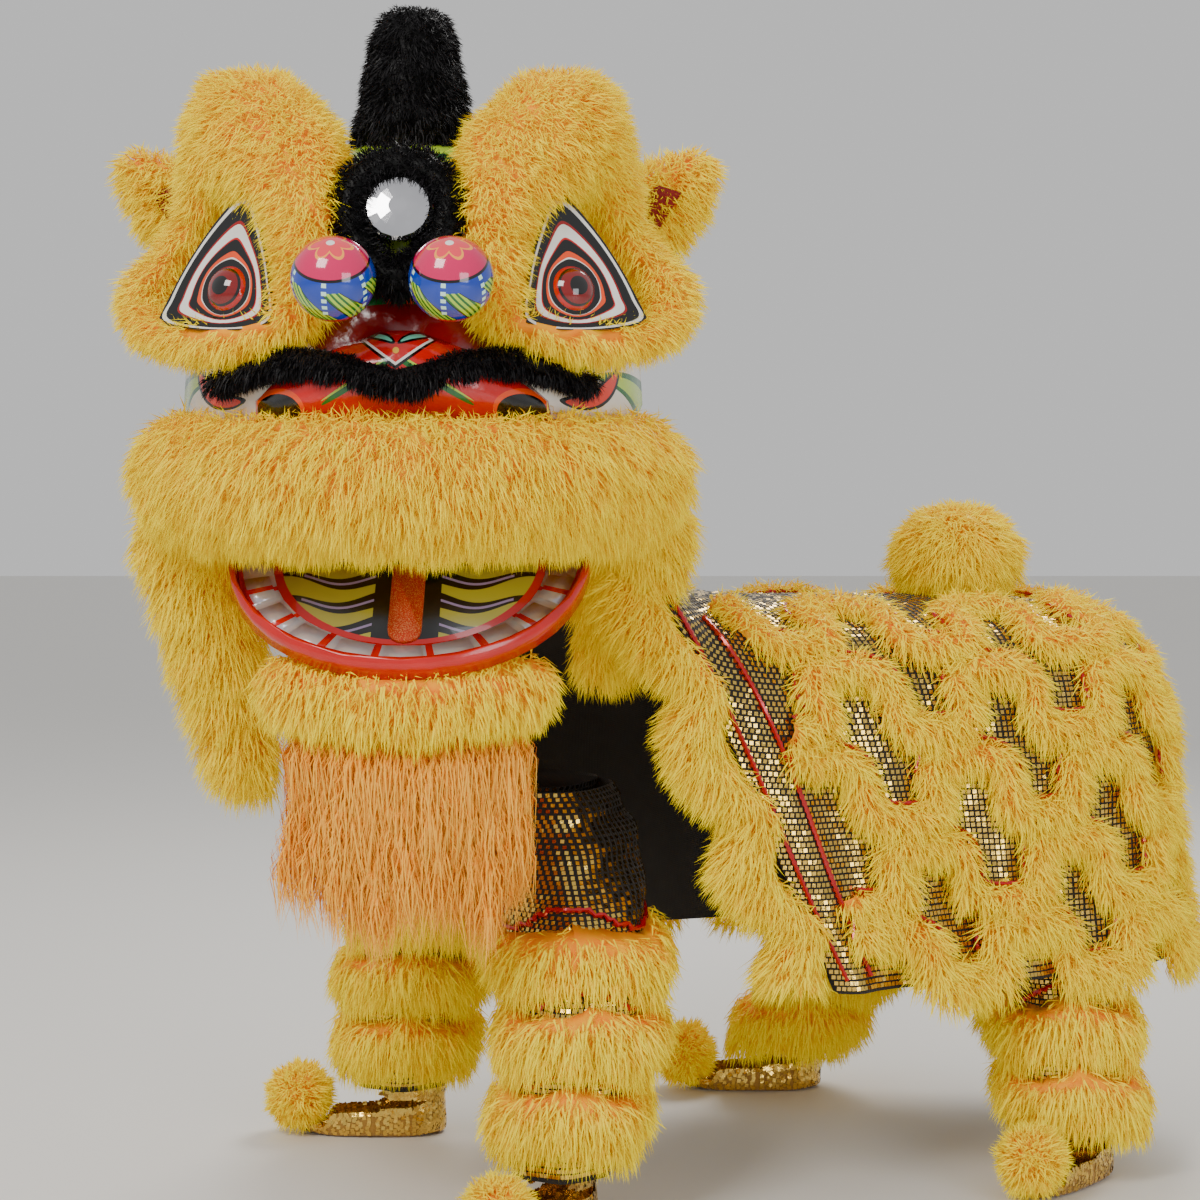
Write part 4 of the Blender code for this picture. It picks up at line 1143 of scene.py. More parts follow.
@dataclass
class Scallops:
    """Arched path of one fur row over the drape.

    Args:
        drape: the cloth.
        number: the row, counted from the ridge.
        period: width of one arch.
        swing: how far it swings either way.
        pinch: how far its sides lean in.
    """

    drape: Drape
    number: int
    period: float = 0.225
    swing: float = 0.036
    pinch: float = 0.022
    ends = (0.075, 0.985)
    shares = [index / 400 for index in range(401)]

    def __post_init__(self) -> None:
        """Measure the way round the cloth at the row's level."""
        self.level = ROW_LEVELS[self.number - 1]
        self.phase = math.pi * (self.number % 2)
        places = [self.drape.point(share, self.level) for share in self.shares]
        self.gone = [0.0]
        for before, after in zip(places, places[1:]):
            self.gone.append(self.gone[-1] + (after - before).length)

    def share(self, distance: float) -> float:
        """Share of the way round at a distance along the cloth."""
        return float(np.interp(distance, self.gone, self.shares))

    def path(self, step: float) -> list[tuple[Vector, Vector, Vector]]:
        """Place, upward side and outward direction along the row.

        Args:
            step: distance between the places.

        Returns:
            Place, side and outward direction, in order.
        """
        drop = self.drape.back - self.drape.hem
        start, end = np.interp(self.ends, self.shares, self.gone)
        made, shares = [], []
        for index in range(int((end - start) / step * 1.5)):
            distance = start + index * step / 1.5
            turn = 2 * math.pi * distance / self.period + self.phase
            at = min(max(distance + self.pinch * math.sin(2 * turn), start), end)
            fall = self.level - self.swing / drop * math.cos(turn)
            shares.append((self.share(at), min(max(fall, 0.07), self.ends[1])))
        for index, (u, v) in enumerate(shares):
            place = self.drape.point(u, v)
            along = self.drape.point(min(u + 0.004, 1.0), v) - self.drape.point(max(u - 0.004, 0.0), v)
            down = self.drape.point(u, v + 0.01) - self.drape.point(u, v - 0.01)
            out = outward(along.cross(down).normalized(), place, body_middle(place))
            after = self.drape.point(*shares[min(index + 1, len(shares) - 1)])
            before = self.drape.point(*shares[max(index - 1, 0)])
            ahead = (after - before).normalized()
            made.append((place, out.cross(ahead).normalized(), out))
        return made

    def form(self) -> bpy.types.Mesh:
        """Low rounded strip that the fur grows from.

        Returns:
            The strip.
        """
        cross = ((0.015, 0.001), (0.010, 0.012), (0.0, 0.016), (-0.010, 0.012), (-0.015, 0.001))
        rows = [[place + side * wide + out * high for wide, high in cross]
                for place, side, out in self.path(0.008)]
        return sheet_mesh("row_form", rows)


@dataclass(frozen=True)
class Cloths:
    """The sequin cloth over the back and on the legs, with piping and sheets.

    Args:
        sequins: the shared sequin tree.
        drape: the cloth over the back.
        full_step: distance between sequins.
        sequin_share: a sequin's width as a share of the distance.
        lift: height of a sequin over its cloth.
        lining_depth: how far inside the cloth its lining lies.
    """

    sequins: SequinWorks
    drape: Drape = Drape()
    full_step: float = 0.0082
    quick_step: float = 0.014
    sequin_share: float = 0.66
    lift: float = 0.0014
    lining_depth: float = 0.013

    @property
    def step(self) -> float:
        """Distance between sequins in this render."""
        return self.full_step

    def back(self) -> None:
        """The back cloth and its lining as open sheets, with the sequins."""
        drape = self.drape
        mesh = sheet_mesh("back_sheet", drape.grid(170, 44, 0.0))
        piece = dress(to_piece("back_sheet", mesh, Finish.CLOTH), HEAD_BODY, "sequin_cloth",
                      "back_cloth")
        inner = sheet_mesh("back_lining", drape.grid(110, 30, -self.lining_depth))
        lining = dress(to_piece("back_lining", inner, Finish.LINING), HEAD_BODY, "sequin_cloth")
        columns = even_shares(lambda share: drape.point(share, 0.6), *CLOTH_ENDS, self.step, 2400)
        levels = even_shares(partial(drape.point, 0.2), *CLOTH_ENDS, self.step, 900)
        rows = [[drape.point(column, level, self.lift) for column in columns] for level in levels]
        spots = []
        for row, places in enumerate(rows):
            for column, place in enumerate(places):
                facing, along = facings(rows, row, column, False)
                spots.append((place, outward(facing, place, body_middle(place)), along))
        self.sequins.sew("back_sequins", spots, self.step * self.sequin_share)

    def band(self, start: float, gain: float, share: float) -> Vector:
        """Place on a strip that runs down the front of the cloth."""
        return self.drape.point(start + gain * share, share, 0.004)

    def piping(self) -> None:
        """Beaded red strips along the upper edges of the fur rows and the front band."""
        for number in range(1, len(ROW_LEVELS) + 1):
            spots = Scallops(self.drape, number).path(0.0055)
            self.pipe(f"row_piping_{number}",
                      [place + side * 0.023 + out * 0.010 for place, side, out in spots])
        for number, (start, gain) in enumerate(((0.010, 0.010), (0.052, 0.012)), 1):
            curve = partial(self.band, start, gain)
            self.pipe(f"band_piping_{number}",
                      [curve(share) for share in even_shares(curve, 0.22, 0.97, 0.005)])

    def pipe(self, name: str, places: list[Vector], radius: float = PIPING_RADIUS,
             closed: bool = False) -> None:
        """Add one beaded strip.

        Args:
            name: the piece's name.
            places: its centre line.
            radius: its radius.
            closed: whether it closes on itself.
        """
        dress(tube(name, places, radius, Finish.BEADS, bead=PIPING_SWELL, closed=closed), HEAD_BODY,
              "red_lacquer")

    def leg_spots(self, leg: Leg) -> list[tuple[Vector, Vector, Vector]]:
        """Place, facing and along of each sequin on a leg.

        Args:
            leg: the leg.

        Returns:
            The sequins, row by row.
        """
        count = 66
        levels = even_shares(partial(leg.point, 0.0), 0.01, 0.99, self.step, 500)
        grid = [[leg.point(2 * math.pi * column / count, level, self.lift)
                 for column in range(count)] for level in levels]
        spots = []
        for row, places in enumerate(grid):
            middle = sum(places, Vector()) / count
            for column, place in enumerate(places):
                facing, along = facings(grid, row, column, True)
                spots.append((place, outward(facing, place, middle), along))
        return spots

    def trousers(self, pair: str) -> None:
        """Both legs of a pair as one open sheet, with sequins and piping.

        Args:
            pair: front or rear.
        """
        points, faces, spots = [], [], []
        for side in ("right", "left"):
            leg = Leg(f"{pair}_{side}")
            part = sheet_mesh("part", [[leg.point(2 * math.pi * column / 56, row / 46)
                                        for column in range(56)] for row in range(47)], True)
            start = len(points)
            points += [vertex.co.copy() for vertex in part.vertices]
            faces += [tuple(start + index for index in face.vertices) for face in part.polygons]
            spots += self.leg_spots(leg)
            self.tier_piping(leg, pair)
        name = pair + "_trouser_sheet"
        mesh = bpy.data.meshes.new(name)
        mesh.from_pydata(points, [], faces)
        mesh.shade_smooth()
        piece = dress(to_piece(name, mesh, Finish.CLOTH), HEAD_BODY, "sequin_cloth", pair + "_trousers")
        self.sequins.sew(pair + "_sequins", spots, self.step * self.sequin_share)

    def tier_piping(self, leg: Leg, pair: str) -> None:
        """Beaded red rings over the fur tiers of a leg.

        Args:
            leg: the leg.
            pair: front or rear.
        """
        top = WAIST[pair]
        heights = [leg.point(0.0, step / 100).z for step in range(101)]
        for number, share in enumerate(TIERS[pair], 1):
            level = top + (ANKLE_Z - top) * share + TIER_HEIGHT * 0.45
            places = []
            for index in range(96):
                turn = 2 * math.pi * index / 96
                height = level + 0.014 * math.sin(turn * 3) + 0.004
                gaps = [abs(reached - height) for reached in heights]
                places.append(leg.point(turn, gaps.index(min(gaps)) / 100, 0.005))
            self.pipe(f"tier_piping_{leg.name}_{number}", places, 0.0044, True)

    def shoes(self) -> None:
        """Rounded shoe covers set with sequins."""
        for name in LEGS:
            mesh = softened("shoe_" + name, 2)
            dress(to_piece(f"shoe_{name}_cover", mesh, Finish.SHOE_CLOTH), HEAD_BODY, "shoe_cloth",
                  "shoe_" + name)
            spots = []
            for face in mesh.polygons:
                if face.center.z > FLOOR_Z + 0.006 and face.area > 4e-6:
                    first, second = (mesh.vertices[index].co for index in face.vertices[:2])
                    spots.append((face.center + face.normal * 0.001, face.normal.copy(),
                                  (second - first).normalized()))
            self.sequins.sew(f"shoe_{name}_sequins", spots, SHOE_SEQUIN, "shoe_cloth")


def softened(node: str, levels: int) -> bpy.types.Mesh:
    """Copy of a CAD node's mesh, rounded by subdivision.

    Args:
        node: the CAD node.
        levels: how often it is divided.

    Returns:
        The copy.
    """
    mesh = merged_copy(node)
    holder = bpy.data.objects.new(node + "_holder", mesh)
    bpy.context.scene.collection.objects.link(holder)
    holder.modifiers.new("rounding", "SUBSURF").levels = levels
    made = evaluated_mesh(holder)
    bpy.data.objects.remove(holder, do_unlink=True)
    made.shade_smooth()
    return made


class Shape(Enum):
    """Outline of a painted mark."""

    ROUND = "round"
    KITE = "kite"
    RING = "ring"


@dataclass(frozen=True)
class Mark:
    """One painted mark, placed on the front view.

    Args:
        centre: place across and up.
        size: half sizes.
        colour: its colour.
        turn: angle in degrees.
        bow: how far it curves, per metre.
        pair: whether it is repeated on the other side.
        shape: its outline.
    """

    centre: tuple[float, float]
    size: tuple[float, float]
    colour: tuple
    turn: float = 0.0
    bow: float = 0.0
    pair: bool = True
    shape: Shape = Shape.ROUND


REAR_BANDS = (
    (0.150, BLACK), (0.156, LIME), (0.186, GREEN), (0.204, WHITE), (0.212, DEEP_RED), (0.290, BLACK),
    (0.296, ORANGE), (0.322, WHITE), (0.330, GREEN), (0.395, BLACK), (0.401, LIME), (0.430, WHITE),
    (0.438, RED))


@dataclass(frozen=True)
class Painting:
    """Glossy painted surface with marks laid over a ground colour."""

    name: str
    ground: tuple
    marks: tuple[Mark, ...]
    back: bool = False

    def rear(self, graph: Graph, colour: Wire, across: Wire, along: Wire, up: Wire) -> Wire:
        """Lay scalloped bands over the part that faces the body.

        Args:
            graph: the material's tree.
            colour: the colour under the bands.
            across: distance across the head.
            along: distance along it.
            up: height.

        Returns:
            The colour with the bands.
        """
        turn = graph.maths("ARCTAN2", across, along)
        wave = up + graph.size(graph.sine(turn * 5.0)) * 0.030
        made = graph.mix(0.0, RED, RED)
        for low, tone in REAR_BANDS:
            made = graph.mix(wave > low, made, tone)
        dot = graph.sine(turn * 40.0) * graph.sine(up * 190.0) > 0.80
        made = graph.mix(dot * (wave > 0.212), made, linear(0.95, 0.78, 0.30))
        return graph.mix(along > 0.045, colour, made)

    def share(self, graph: Graph, mark: Mark, across: Wire, apart: Wire, up: Wire) -> Wire:
        """One inside a mark and nothing outside it.

        Args:
            graph: the material's tree.
            mark: the mark.
            across: distance across the head.
            apart: the same without its sign.
            up: height.

        Returns:
            The share.
        """
        angle = math.radians(mark.turn)
        flat = (apart if mark.pair else across) - mark.centre[0]
        rise = up - mark.centre[1]
        first = flat * math.cos(angle) + rise * math.sin(angle)
        second = rise * math.cos(angle) - flat * math.sin(angle) + first * first * mark.bow
        wide, high = mark.size
        if mark.shape is Shape.KITE:
            return graph.size(first) / wide + graph.size(second) / high < 1.0
        reach = first * first / wide ** 2 + second * second / high ** 2
        if mark.shape is Shape.RING:
            return graph.size(reach - 0.75) < 0.25
        return reach < 1.0

    def build(self) -> bpy.types.Material:
        """Material with every mark.

        Returns:
            The material.
        """
        graph = Graph(self.name)
        across, along, up = graph.parts(graph.place())
        apart = graph.size(across)
        colour = graph.mix(0.0, self.ground, self.ground)
        for mark in self.marks:
            colour = graph.mix(self.share(graph, mark, across, apart, up), colour, mark.colour)
        if self.back:
            colour = self.rear(graph, colour, across, along, up)
        cloud = graph.noise(graph.place(), 20.0, 3.0)
        relief = graph.bump(graph.noise(graph.place(), 70.0), 0.25, 0.004)
        return graph.finish(Base_Color=colour, Roughness=cloud * 0.15 + 0.12, Coat_Weight=0.6,
                            Coat_Roughness=0.1, Normal=relief)


HEAD_PAINTING = Painting("head_painting", WHITE, (
    Mark((0.0, 0.43), (0.17, 0.14), LIME, pair=False),
    Mark((0.035, 0.462), (0.034, 0.020), GREEN, 20.0, shape=Shape.RING),
    Mark((0.0, 0.425), (0.105, 0.018), linear(0.85, 0.20, 0.08), 0.0, 3.0, False),
    Mark((0.0, 0.46), (0.022, 0.018), ORANGE, pair=False, shape=Shape.RING),
    Mark((0.0, 0.462), (0.010, 0.010), RED, pair=False),
    Mark((0.06, 0.445), (0.005, 0.005), WHITE),
    Mark((0.085, 0.440), (0.004, 0.004), WHITE),
    Mark((0.27, 0.222), (0.048, 0.013), GREEN, 12.0, 8.0),
    Mark((0.262, 0.214), (0.030, 0.006), LIME, 12.0, 8.0),
    Mark((0.300, 0.170), (0.046, 0.016), GREEN, -48.0, 12.0),
    Mark((0.300, 0.168), (0.036, 0.009), LIME, -48.0, 12.0),
    Mark((0.250, 0.158), (0.044, 0.013), BLACK, 30.0, -10.0),
    Mark((0.250, 0.158), (0.038, 0.009), linear(0.9, 0.22, 0.12), 30.0, -10.0),
    Mark((0.24, 0.236), (0.040, 0.010), RED, 6.0, 5.0),
    Mark((0.288, 0.226), (0.003, 0.003), WHITE),
    Mark((0.272, 0.226), (0.003, 0.003), MINT),
    Mark((0.256, 0.222), (0.003, 0.003), WHITE),
    Mark((0.0, 0.275), (0.050, 0.035), GREEN, pair=False),
    Mark((0.018, 0.288), (0.022, 0.006), ORANGE, 55.0, 12.0),
    Mark((0.0, 0.235), (0.12, 0.04), DEEP_RED, pair=False)), True)

SNOUT_PAINTING = Painting("snout_painting", RED, (
    Mark((0.045, 0.178), (0.060, 0.0045), GREEN, -32.0),
    Mark((0.045, 0.183), (0.060, 0.0016), LIME, -32.0),
    Mark((0.085, 0.190), (0.003, 0.003), PINK),
    Mark((0.070, 0.183), (0.003, 0.003), PINK),
    Mark((0.055, 0.176), (0.003, 0.003), PINK),
    Mark((0.040, 0.168), (0.003, 0.003), PINK),
    Mark((0.0, 0.228), (0.050, 0.038), BLACK, pair=False, shape=Shape.KITE),
    Mark((0.0, 0.228), (0.045, 0.033), WHITE, pair=False, shape=Shape.KITE),
    Mark((0.0, 0.228), (0.040, 0.029), RED, pair=False, shape=Shape.KITE),
    Mark((0.020, 0.232), (0.020, 0.006), BLACK, 14.0, 10.0),
    Mark((0.020, 0.232), (0.016, 0.0028), MINT, 14.0, 10.0),
    Mark((0.0, 0.245), (0.005, 0.005), linear(0.9, 0.7, 0.2), pair=False),
    Mark((0.0, 0.214), (0.004, 0.004), linear(0.9, 0.7, 0.2), pair=False),
    Mark((0.155, 0.142), (0.036, 0.026), ORANGE),
    Mark((0.155, 0.139), (0.031, 0.022), BLACK),
    Mark((0.150, 0.205), (0.034, 0.008), LIME, 18.0, 8.0),
    Mark((0.150, 0.205), (0.024, 0.004), GREEN, 18.0, 8.0)))


def coloured_rings(name: str, spot: Matrix, radius: float, rings: tuple) -> bpy.types.Material:
    """Glossy ball whose colours ring its axis, from (share of radius, colour) pairs, widest first.

    Args:
        name: the material's name.
        spot: the ball's place.
        radius: its radius.
        rings: share of the radius and colour, widest first.

    Returns:
        The material.
    """
    graph = Graph(name)
    across, along, _ = graph.place_from(spot)
    reach = graph.maths("SQRT", across * across + along * along) / radius
    colour = graph.mix(0.0, rings[0][1], rings[0][1])
    for share, tone in rings[1:]:
        colour = graph.mix(reach < share, colour, tone)
    return graph.finish(Base_Color=colour, Roughness=0.06, Coat_Weight=0.8, Coat_Roughness=0.03)


def ball_material(name: str, spot: Matrix, radius: float) -> bpy.types.Material:
    """Nose ornament: petals over a pink cap, a blue band with flames, a red underside.

    Args:
        name: the material's name.
        spot: the ball's place.
        radius: its radius.

    Returns:
        The material.
    """
    graph = Graph(name)
    x, y, z = graph.place_from(spot)
    rise = z / radius
    reach = graph.maths("SQRT", x * x + y * y) / radius
    turn = graph.maths("ARCTAN2", y, x)
    petal = graph.size(graph.sine(turn * 3.0)) * 0.20 + 0.30
    top = rise > 0.0
    colour = graph.mix(rise > 0.50, BLUE, PINK)
    colour = graph.mix(graph.size(rise - 0.50) < 0.03, colour, BLACK)
    edge = graph.size(reach - petal)
    colour = graph.mix(top * (reach < petal), colour, linear(0.92, 0.25, 0.30))
    colour = graph.mix(top * (edge < 0.035), colour, linear(0.98, 0.62, 0.25))
    colour = graph.mix(top * (reach < 0.10), colour, WHITE)
    wave = graph.sine(turn * 6.0 + rise * 6.0)
    low = (rise < 0.24) * (rise > -0.62)
    flame = wave > rise * 0.9 + 0.10
    colour = graph.mix(low * (wave > rise * 0.9 - 0.10), colour, BLACK)
    colour = graph.mix(low * flame, colour, LIME)
    streak = graph.sine(turn * 40.0 + rise * 30.0) > 0.2
    colour = graph.mix(low * flame * streak, colour, GREEN)
    bead_turn = graph.sine(turn * 6.0 + 2.4) > 0.93
    bead = graph.sine(rise * 34.0) > -0.1
    band = (rise < 0.46) * (rise > -0.40)
    colour = graph.mix(band * bead_turn * bead, colour, linear(0.80, 0.98, 0.90))
    colour = graph.mix(rise < -0.62, colour, RED)
    return graph.finish(Base_Color=colour, Roughness=0.12, Coat_Weight=0.8, Coat_Roughness=0.05)


def facing_place(x: float, y: float, z: float, turn: float, lean: float) -> Matrix:
    """Place whose Z axis faces out of the head's front."""
    return (Matrix.Translation((x, y, z)) @ Matrix.Rotation(math.radians(turn), 4, "Z")
            @ Matrix.Rotation(math.radians(90 - lean), 4, "X"))


def sphere(name: str, spot: Matrix, radius: float, paint: bpy.types.Material) -> bpy.types.Object:
    """Smooth ball with its own material.

    Args:
        name: the piece's name.
        spot: its place.
        radius: its radius.
        paint: its material.

    Returns:
        The piece.
    """
    builder = bmesh.new()
    bmesh.ops.create_icosphere(builder, subdivisions=4, radius=radius, matrix=spot)
    mesh = mesh_of(name, builder)
    mesh.materials.append(paint)
    return to_piece(name, mesh)


@dataclass(frozen=True)
class Eye:
    """Painted bands and ball of one eye.

    Args:
        side: -1 on the left of the picture, 1 on the right.
        width: the plate's width.
        plate: its thickness.
        layer: height of one band over the last.
        ball_radius: the ball's radius.
        ball_rise: how far the ball stands out.
    """

    side: int
    width: float = 0.172
    plate: float = 0.006
    layer: float = 0.0005
    ball_radius: float = 0.034
    ball_rise: float = 0.020
    outline = ((0.02, 0.0), (0.5, -0.05), (1.0, 0.02), (0.97, 0.20), (0.84, 0.48), (0.66, 0.76),
               (0.46, 0.98), (0.34, 0.97), (0.20, 0.68), (0.08, 0.34))
    bands = ((0.93, Finish.WHITE_PAINT), (0.84, Finish.BLACK_PAINT), (0.60, Finish.EYE_RED),
             (0.55, Finish.WHITE_PAINT), (0.36, Finish.RED_PAINT), (0.33, Finish.BLACK_PAINT),
             (0.165, Finish.ORANGE_PAINT), (0.075, Finish.WHITE_PAINT), (0.05, Finish.BLACK_PAINT))
    rings = ((2.0, BLACK), (0.93, linear(0.75, 0.07, 0.05)), (0.74, BLACK),
             (0.66, linear(0.48, 0.03, 0.03)), (0.36, linear(0.02, 0.015, 0.015)))

    @property
    def name(self) -> str:
        """The side's word."""
        return "left" if self.side < 0 else "right"

    @property
    def spot(self) -> Matrix:
        """Place of the plate, facing out of the head."""
        return facing_place(self.side * 0.232, -0.262, 0.249, self.side * 28.0, 14.0)

    def centre(self) -> tuple[float, float]:
        """The ball's middle on the plate."""
        return -self.side * 0.012, 0.045

    def ring(self, share: float, count: int = 64) -> list[Vector]:
        """Outline between the ball's edge and the plate's edge.

        Args:
            share: 0 at the ball's edge, 1 at the plate's.
            count: how many places.

        Returns:
            The places.
        """
        keys = self.outline
        made = []
        centre = Vector(self.centre())
        for index in range(count):
            at = index / count * len(keys)
            low = int(at)
            part = at - low
            corners = [Vector(keys[(low + step) % len(keys)]) for step in (-1, 0, 1, 2)]
            spot = 0.5 * ((2 * corners[1]) + (corners[2] - corners[0]) * part
                          + (2 * corners[0] - 5 * corners[1] + 4 * corners[2] - corners[3]) * part ** 2
                          + (3 * corners[1] - corners[0] - 3 * corners[2] + corners[3]) * part ** 3)
            edge = Vector(((spot.x - 0.5) * self.width * self.side, spot.y * self.width))
            away = edge - centre
            round_edge = centre + away.normalized() * self.ball_radius
            made.append(round_edge.lerp(edge, share))
        return made

    def build(self) -> None:
        """Add the bands over the plate, and the glossy ball."""
        for number, (share, kind) in enumerate(self.bands, 1):
            builder = bmesh.new()
            levels = (self.plate - 0.0002, self.plate + self.layer * number)
            lower, upper = [[builder.verts.new(self.spot @ Vector((place.x, place.y, level)))
                             for place in self.ring(share)] for level in levels]
            for index in range(len(lower)):
                after = (index + 1) % len(lower)
                builder.faces.new((lower[index], lower[after], upper[after], upper[index]))
            builder.faces.new(upper)
            builder.faces.new(lower)
            dress(from_builder(f"eye_band_{self.name}_{number}", builder, kind), HEAD_BODY, "eye_paint")
        depth = self.plate + CAD_GAP + self.ball_rise - self.ball_radius
        ball = self.spot @ Matrix.Translation((*self.centre(), depth))
        radius = self.ball_radius + 0.0005
        paint = coloured_rings("eyeball_" + self.name, ball, radius, self.rings)
        dress(sphere("eyeball_" + self.name + "_gloss", ball, radius, paint), HEAD_BODY,
              "eyeball_gloss", "eyeball_" + self.name)
        repaint("eye_plate_" + self.name, Finish.BLACK_PAINT)


def smooth_piece(node: str, paint: bpy.types.Material, body: str, slot: str) -> bpy.types.Object:
    """Copy of a CAD node with smooth shading and its own material.

    Args:
        node: the CAD node.
        paint: its material.
        body: the body that it rides on.
        slot: the record's slot.

    Returns:
        The piece.
    """
    mesh = merged_copy(node)
    mesh.set_sharp_from_angle(angle=NODE_EDGE)
    mesh.materials.clear()
    mesh.materials.append(paint)
    return dress(to_piece(node + "_finished", mesh), body, slot, node)


JAW_SPOT = (Matrix.Translation(JAW_HINGE) @ Matrix.Rotation(math.radians(JAW_DROP), 4, "X")
            @ Matrix.Rotation(math.pi, 4, "Z"))


def lining_material() -> bpy.types.Material:
    """Olive lining with mirrored dark waves that run out from the tongue, in a red border.

    Returns:
        The material.
    """
    graph = Graph("lining_painting")
    x, y, _ = graph.place_from(JAW_SPOT)
    apart = graph.size(x)
    wave = y * 21.0 + graph.sine(apart * 46.0 + 0.6) * 0.22
    share = graph.size(graph.maths("FRACT", wave) - 0.5)
    thick = 0.40 - apart * 1.9
    colour = graph.mix(share < thick, OLIVE, BLACK)
    colour = graph.mix((share < 0.05) * (apart < 0.14), colour, LILAC)
    colour = graph.mix(apart < 0.044, colour, BLACK)
    first, second = x / 0.172, (y - 0.030) / 0.162
    colour = graph.mix(first * first + second * second > 1.0, colour, RED)
    return graph.finish(Base_Color=colour, Roughness=0.3, Coat_Weight=0.4)


def teeth_material() -> bpy.types.Material:
    """Silvery teeth with red gaps between them.

    Returns:
        The material.
    """
    graph = Graph("teeth_painting")
    x, y, _ = graph.place_from(JAW_SPOT)
    turn = graph.maths("ARCTAN2", x / 0.21, (y - 0.030) / 0.20) / math.pi + 0.5
    share = graph.size(graph.maths("FRACT", turn * 9.0) - 0.5)
    first, second = x / 0.228, (y - 0.030) / 0.218
    edge = first * first + second * second
    gap = graph.maths("MAXIMUM", share > 0.435, graph.maths("MAXIMUM", edge > 0.97, edge < 0.64))
    colour = graph.mix(gap, linear(0.80, 0.80, 0.84), RED)
    height = graph.noise(graph.place(), 60.0)
    return graph.finish(Base_Color=colour, Roughness=0.25, Metallic=(1.0 - gap) * 0.4,
                        Normal=graph.bump(height, 0.3, 0.004), Coat_Weight=0.3)


@dataclass(frozen=True)
class Stage:
    """Floor, lights and camera.

    Args:
        floor: half the floor's width.
        sky: strength of the light all round.
        lamp: width of each lamp.
        aim: place that the lamps face.
        lens: the camera's lens in millimetres.
        film: the width that the lens fills, in millimetres.
        camera: the camera's place.
        dip: how far it looks down.
        lamps: name, place, power and colour of each lamp.
    """

    floor: float = 14.0
    sky: float = 0.72
    lamp: float = 1.6
    aim: tuple = (0.35, 0.1, -0.15)
    lens: float = 78.0
    film: float = 36.0
    camera: tuple = (0.254, -3.59, 0.09)
    dip: float = math.atan(150 / 2600)
    lamps: tuple = (("key", (-1.6, -3.0, 2.6), 120.0, (1.0, 0.97, 0.92)),
                    ("fill", (2.4, -3.3, 0.3), 42.0, (0.93, 0.96, 1.0)),
                    ("rim", (1.4, 2.6, 2.4), 90.0, (1.0, 0.98, 0.95)))

    def build(self) -> None:
        """Set the picture up."""
        builder = bmesh.new()
        bmesh.ops.create_grid(builder, x_segments=1, y_segments=1, size=self.floor,
                              matrix=Matrix.Translation((0.3, 4.0, FLOOR_Z - 0.0005)))
        mesh = mesh_of("floor", builder)
        floor = to_piece("floor", mesh)
        graph = Graph("floor_paint")
        mesh.materials.append(graph.finish(Base_Color=linear(0.88, 0.87, 0.85), Roughness=0.6))
        world = bpy.data.worlds.new("studio")
        bpy.context.scene.world = world
        world.use_nodes = True
        sky = world.node_tree.nodes["Background"].inputs
        sky["Color"].default_value = linear(0.95, 0.95, 0.95)
        sky["Strength"].default_value = self.sky
        for row in self.lamps:
            self.light(*row)
        data = bpy.data.cameras.new("camera")
        data.lens = self.lens
        data.sensor_width = self.film
        camera = bpy.data.objects.new("camera", data)
        bpy.context.scene.collection.objects.link(camera)
        camera.location = self.camera
        camera.rotation_euler = (math.radians(90) - self.dip, 0, 0)
        bpy.context.scene.camera = camera

    def light(self, name: str, place: tuple, power: float, colour: tuple) -> None:
        """Add an area light that faces the costume's middle.

        Args:
            name: the lamp's name.
            place: its place.
            power: its power in watts.
            colour: its colour.
        """
        data = bpy.data.lights.new(name, "AREA")
        data.size = self.lamp
        data.energy = power
        data.color = colour
        lamp = bpy.data.objects.new(name, data)
        bpy.context.scene.collection.objects.link(lamp)
        lamp.location = place
        aim = Vector(self.aim) - Vector(place)
        lamp.rotation_euler = aim.to_track_quat("-Z", "Y").to_euler()


def reshaped(node: str, change: Callable[[Vector], Vector]) -> bpy.types.Mesh:
    """Copy of a CAD form whose corners are moved by a function of place.

    Args:
        node: the CAD node.
        change: function from a place to a place.

    Returns:
        The copy.
    """
    mesh = merged_copy(node, 1)
    for vertex in mesh.vertices:
        vertex.co = change(vertex.co.copy())
    return mesh


def lower_roll(place: Vector) -> Vector:
    """Settle the muzzle's upper half, which uncovers the snout."""
    return place - Vector((0, 0, 0.020 * max(0.0, (place.z - 0.066) / 0.086)))


def raise_brow(place: Vector) -> Vector:
    """Lift the fur under an eye and narrow the lobe over it, which uncovers the cheek and ear.

    Args:
        place: a corner.

    Returns:
        Where it goes.
    """
    past = max(0.0, abs(place.x) - 0.235)
    share = min(1.0, max(0.0, (place.z - 0.31) / 0.07)) * min(1.0, max(0.0, (0.60 - place.z) / 0.08))
    narrow = math.copysign(past * 0.50 * share, place.x)
    return place + Vector((-narrow, 0, 0.026 * min(1.0, max(0.0, (0.27 - place.z) / 0.07))))


def thinned(node: str, share: float) -> bpy.types.Mesh:
    """Copy of a rope of fur, drawn in toward its centre line.

    Args:
        node: the CAD node.
        share: how much of its thickness stays.

    Returns:
        The copy.
    """
    mesh = merged_copy(node, 1)
    rows: dict[int, list[Vector]] = {}
    for vertex in mesh.vertices:
        rows.setdefault(round(vertex.co.x / 0.03), []).append(vertex.co.copy())
    keys = sorted(rows)
    centres = list(zip(*(sum(rows[key], Vector()) / len(rows[key]) for key in keys)))
    for vertex in mesh.vertices:
        for axis in (1, 2):
            middle = float(np.interp(vertex.co.x, centres[0], centres[axis]))
            vertex.co[axis] = middle + (vertex.co[axis] - middle) * share
    return mesh


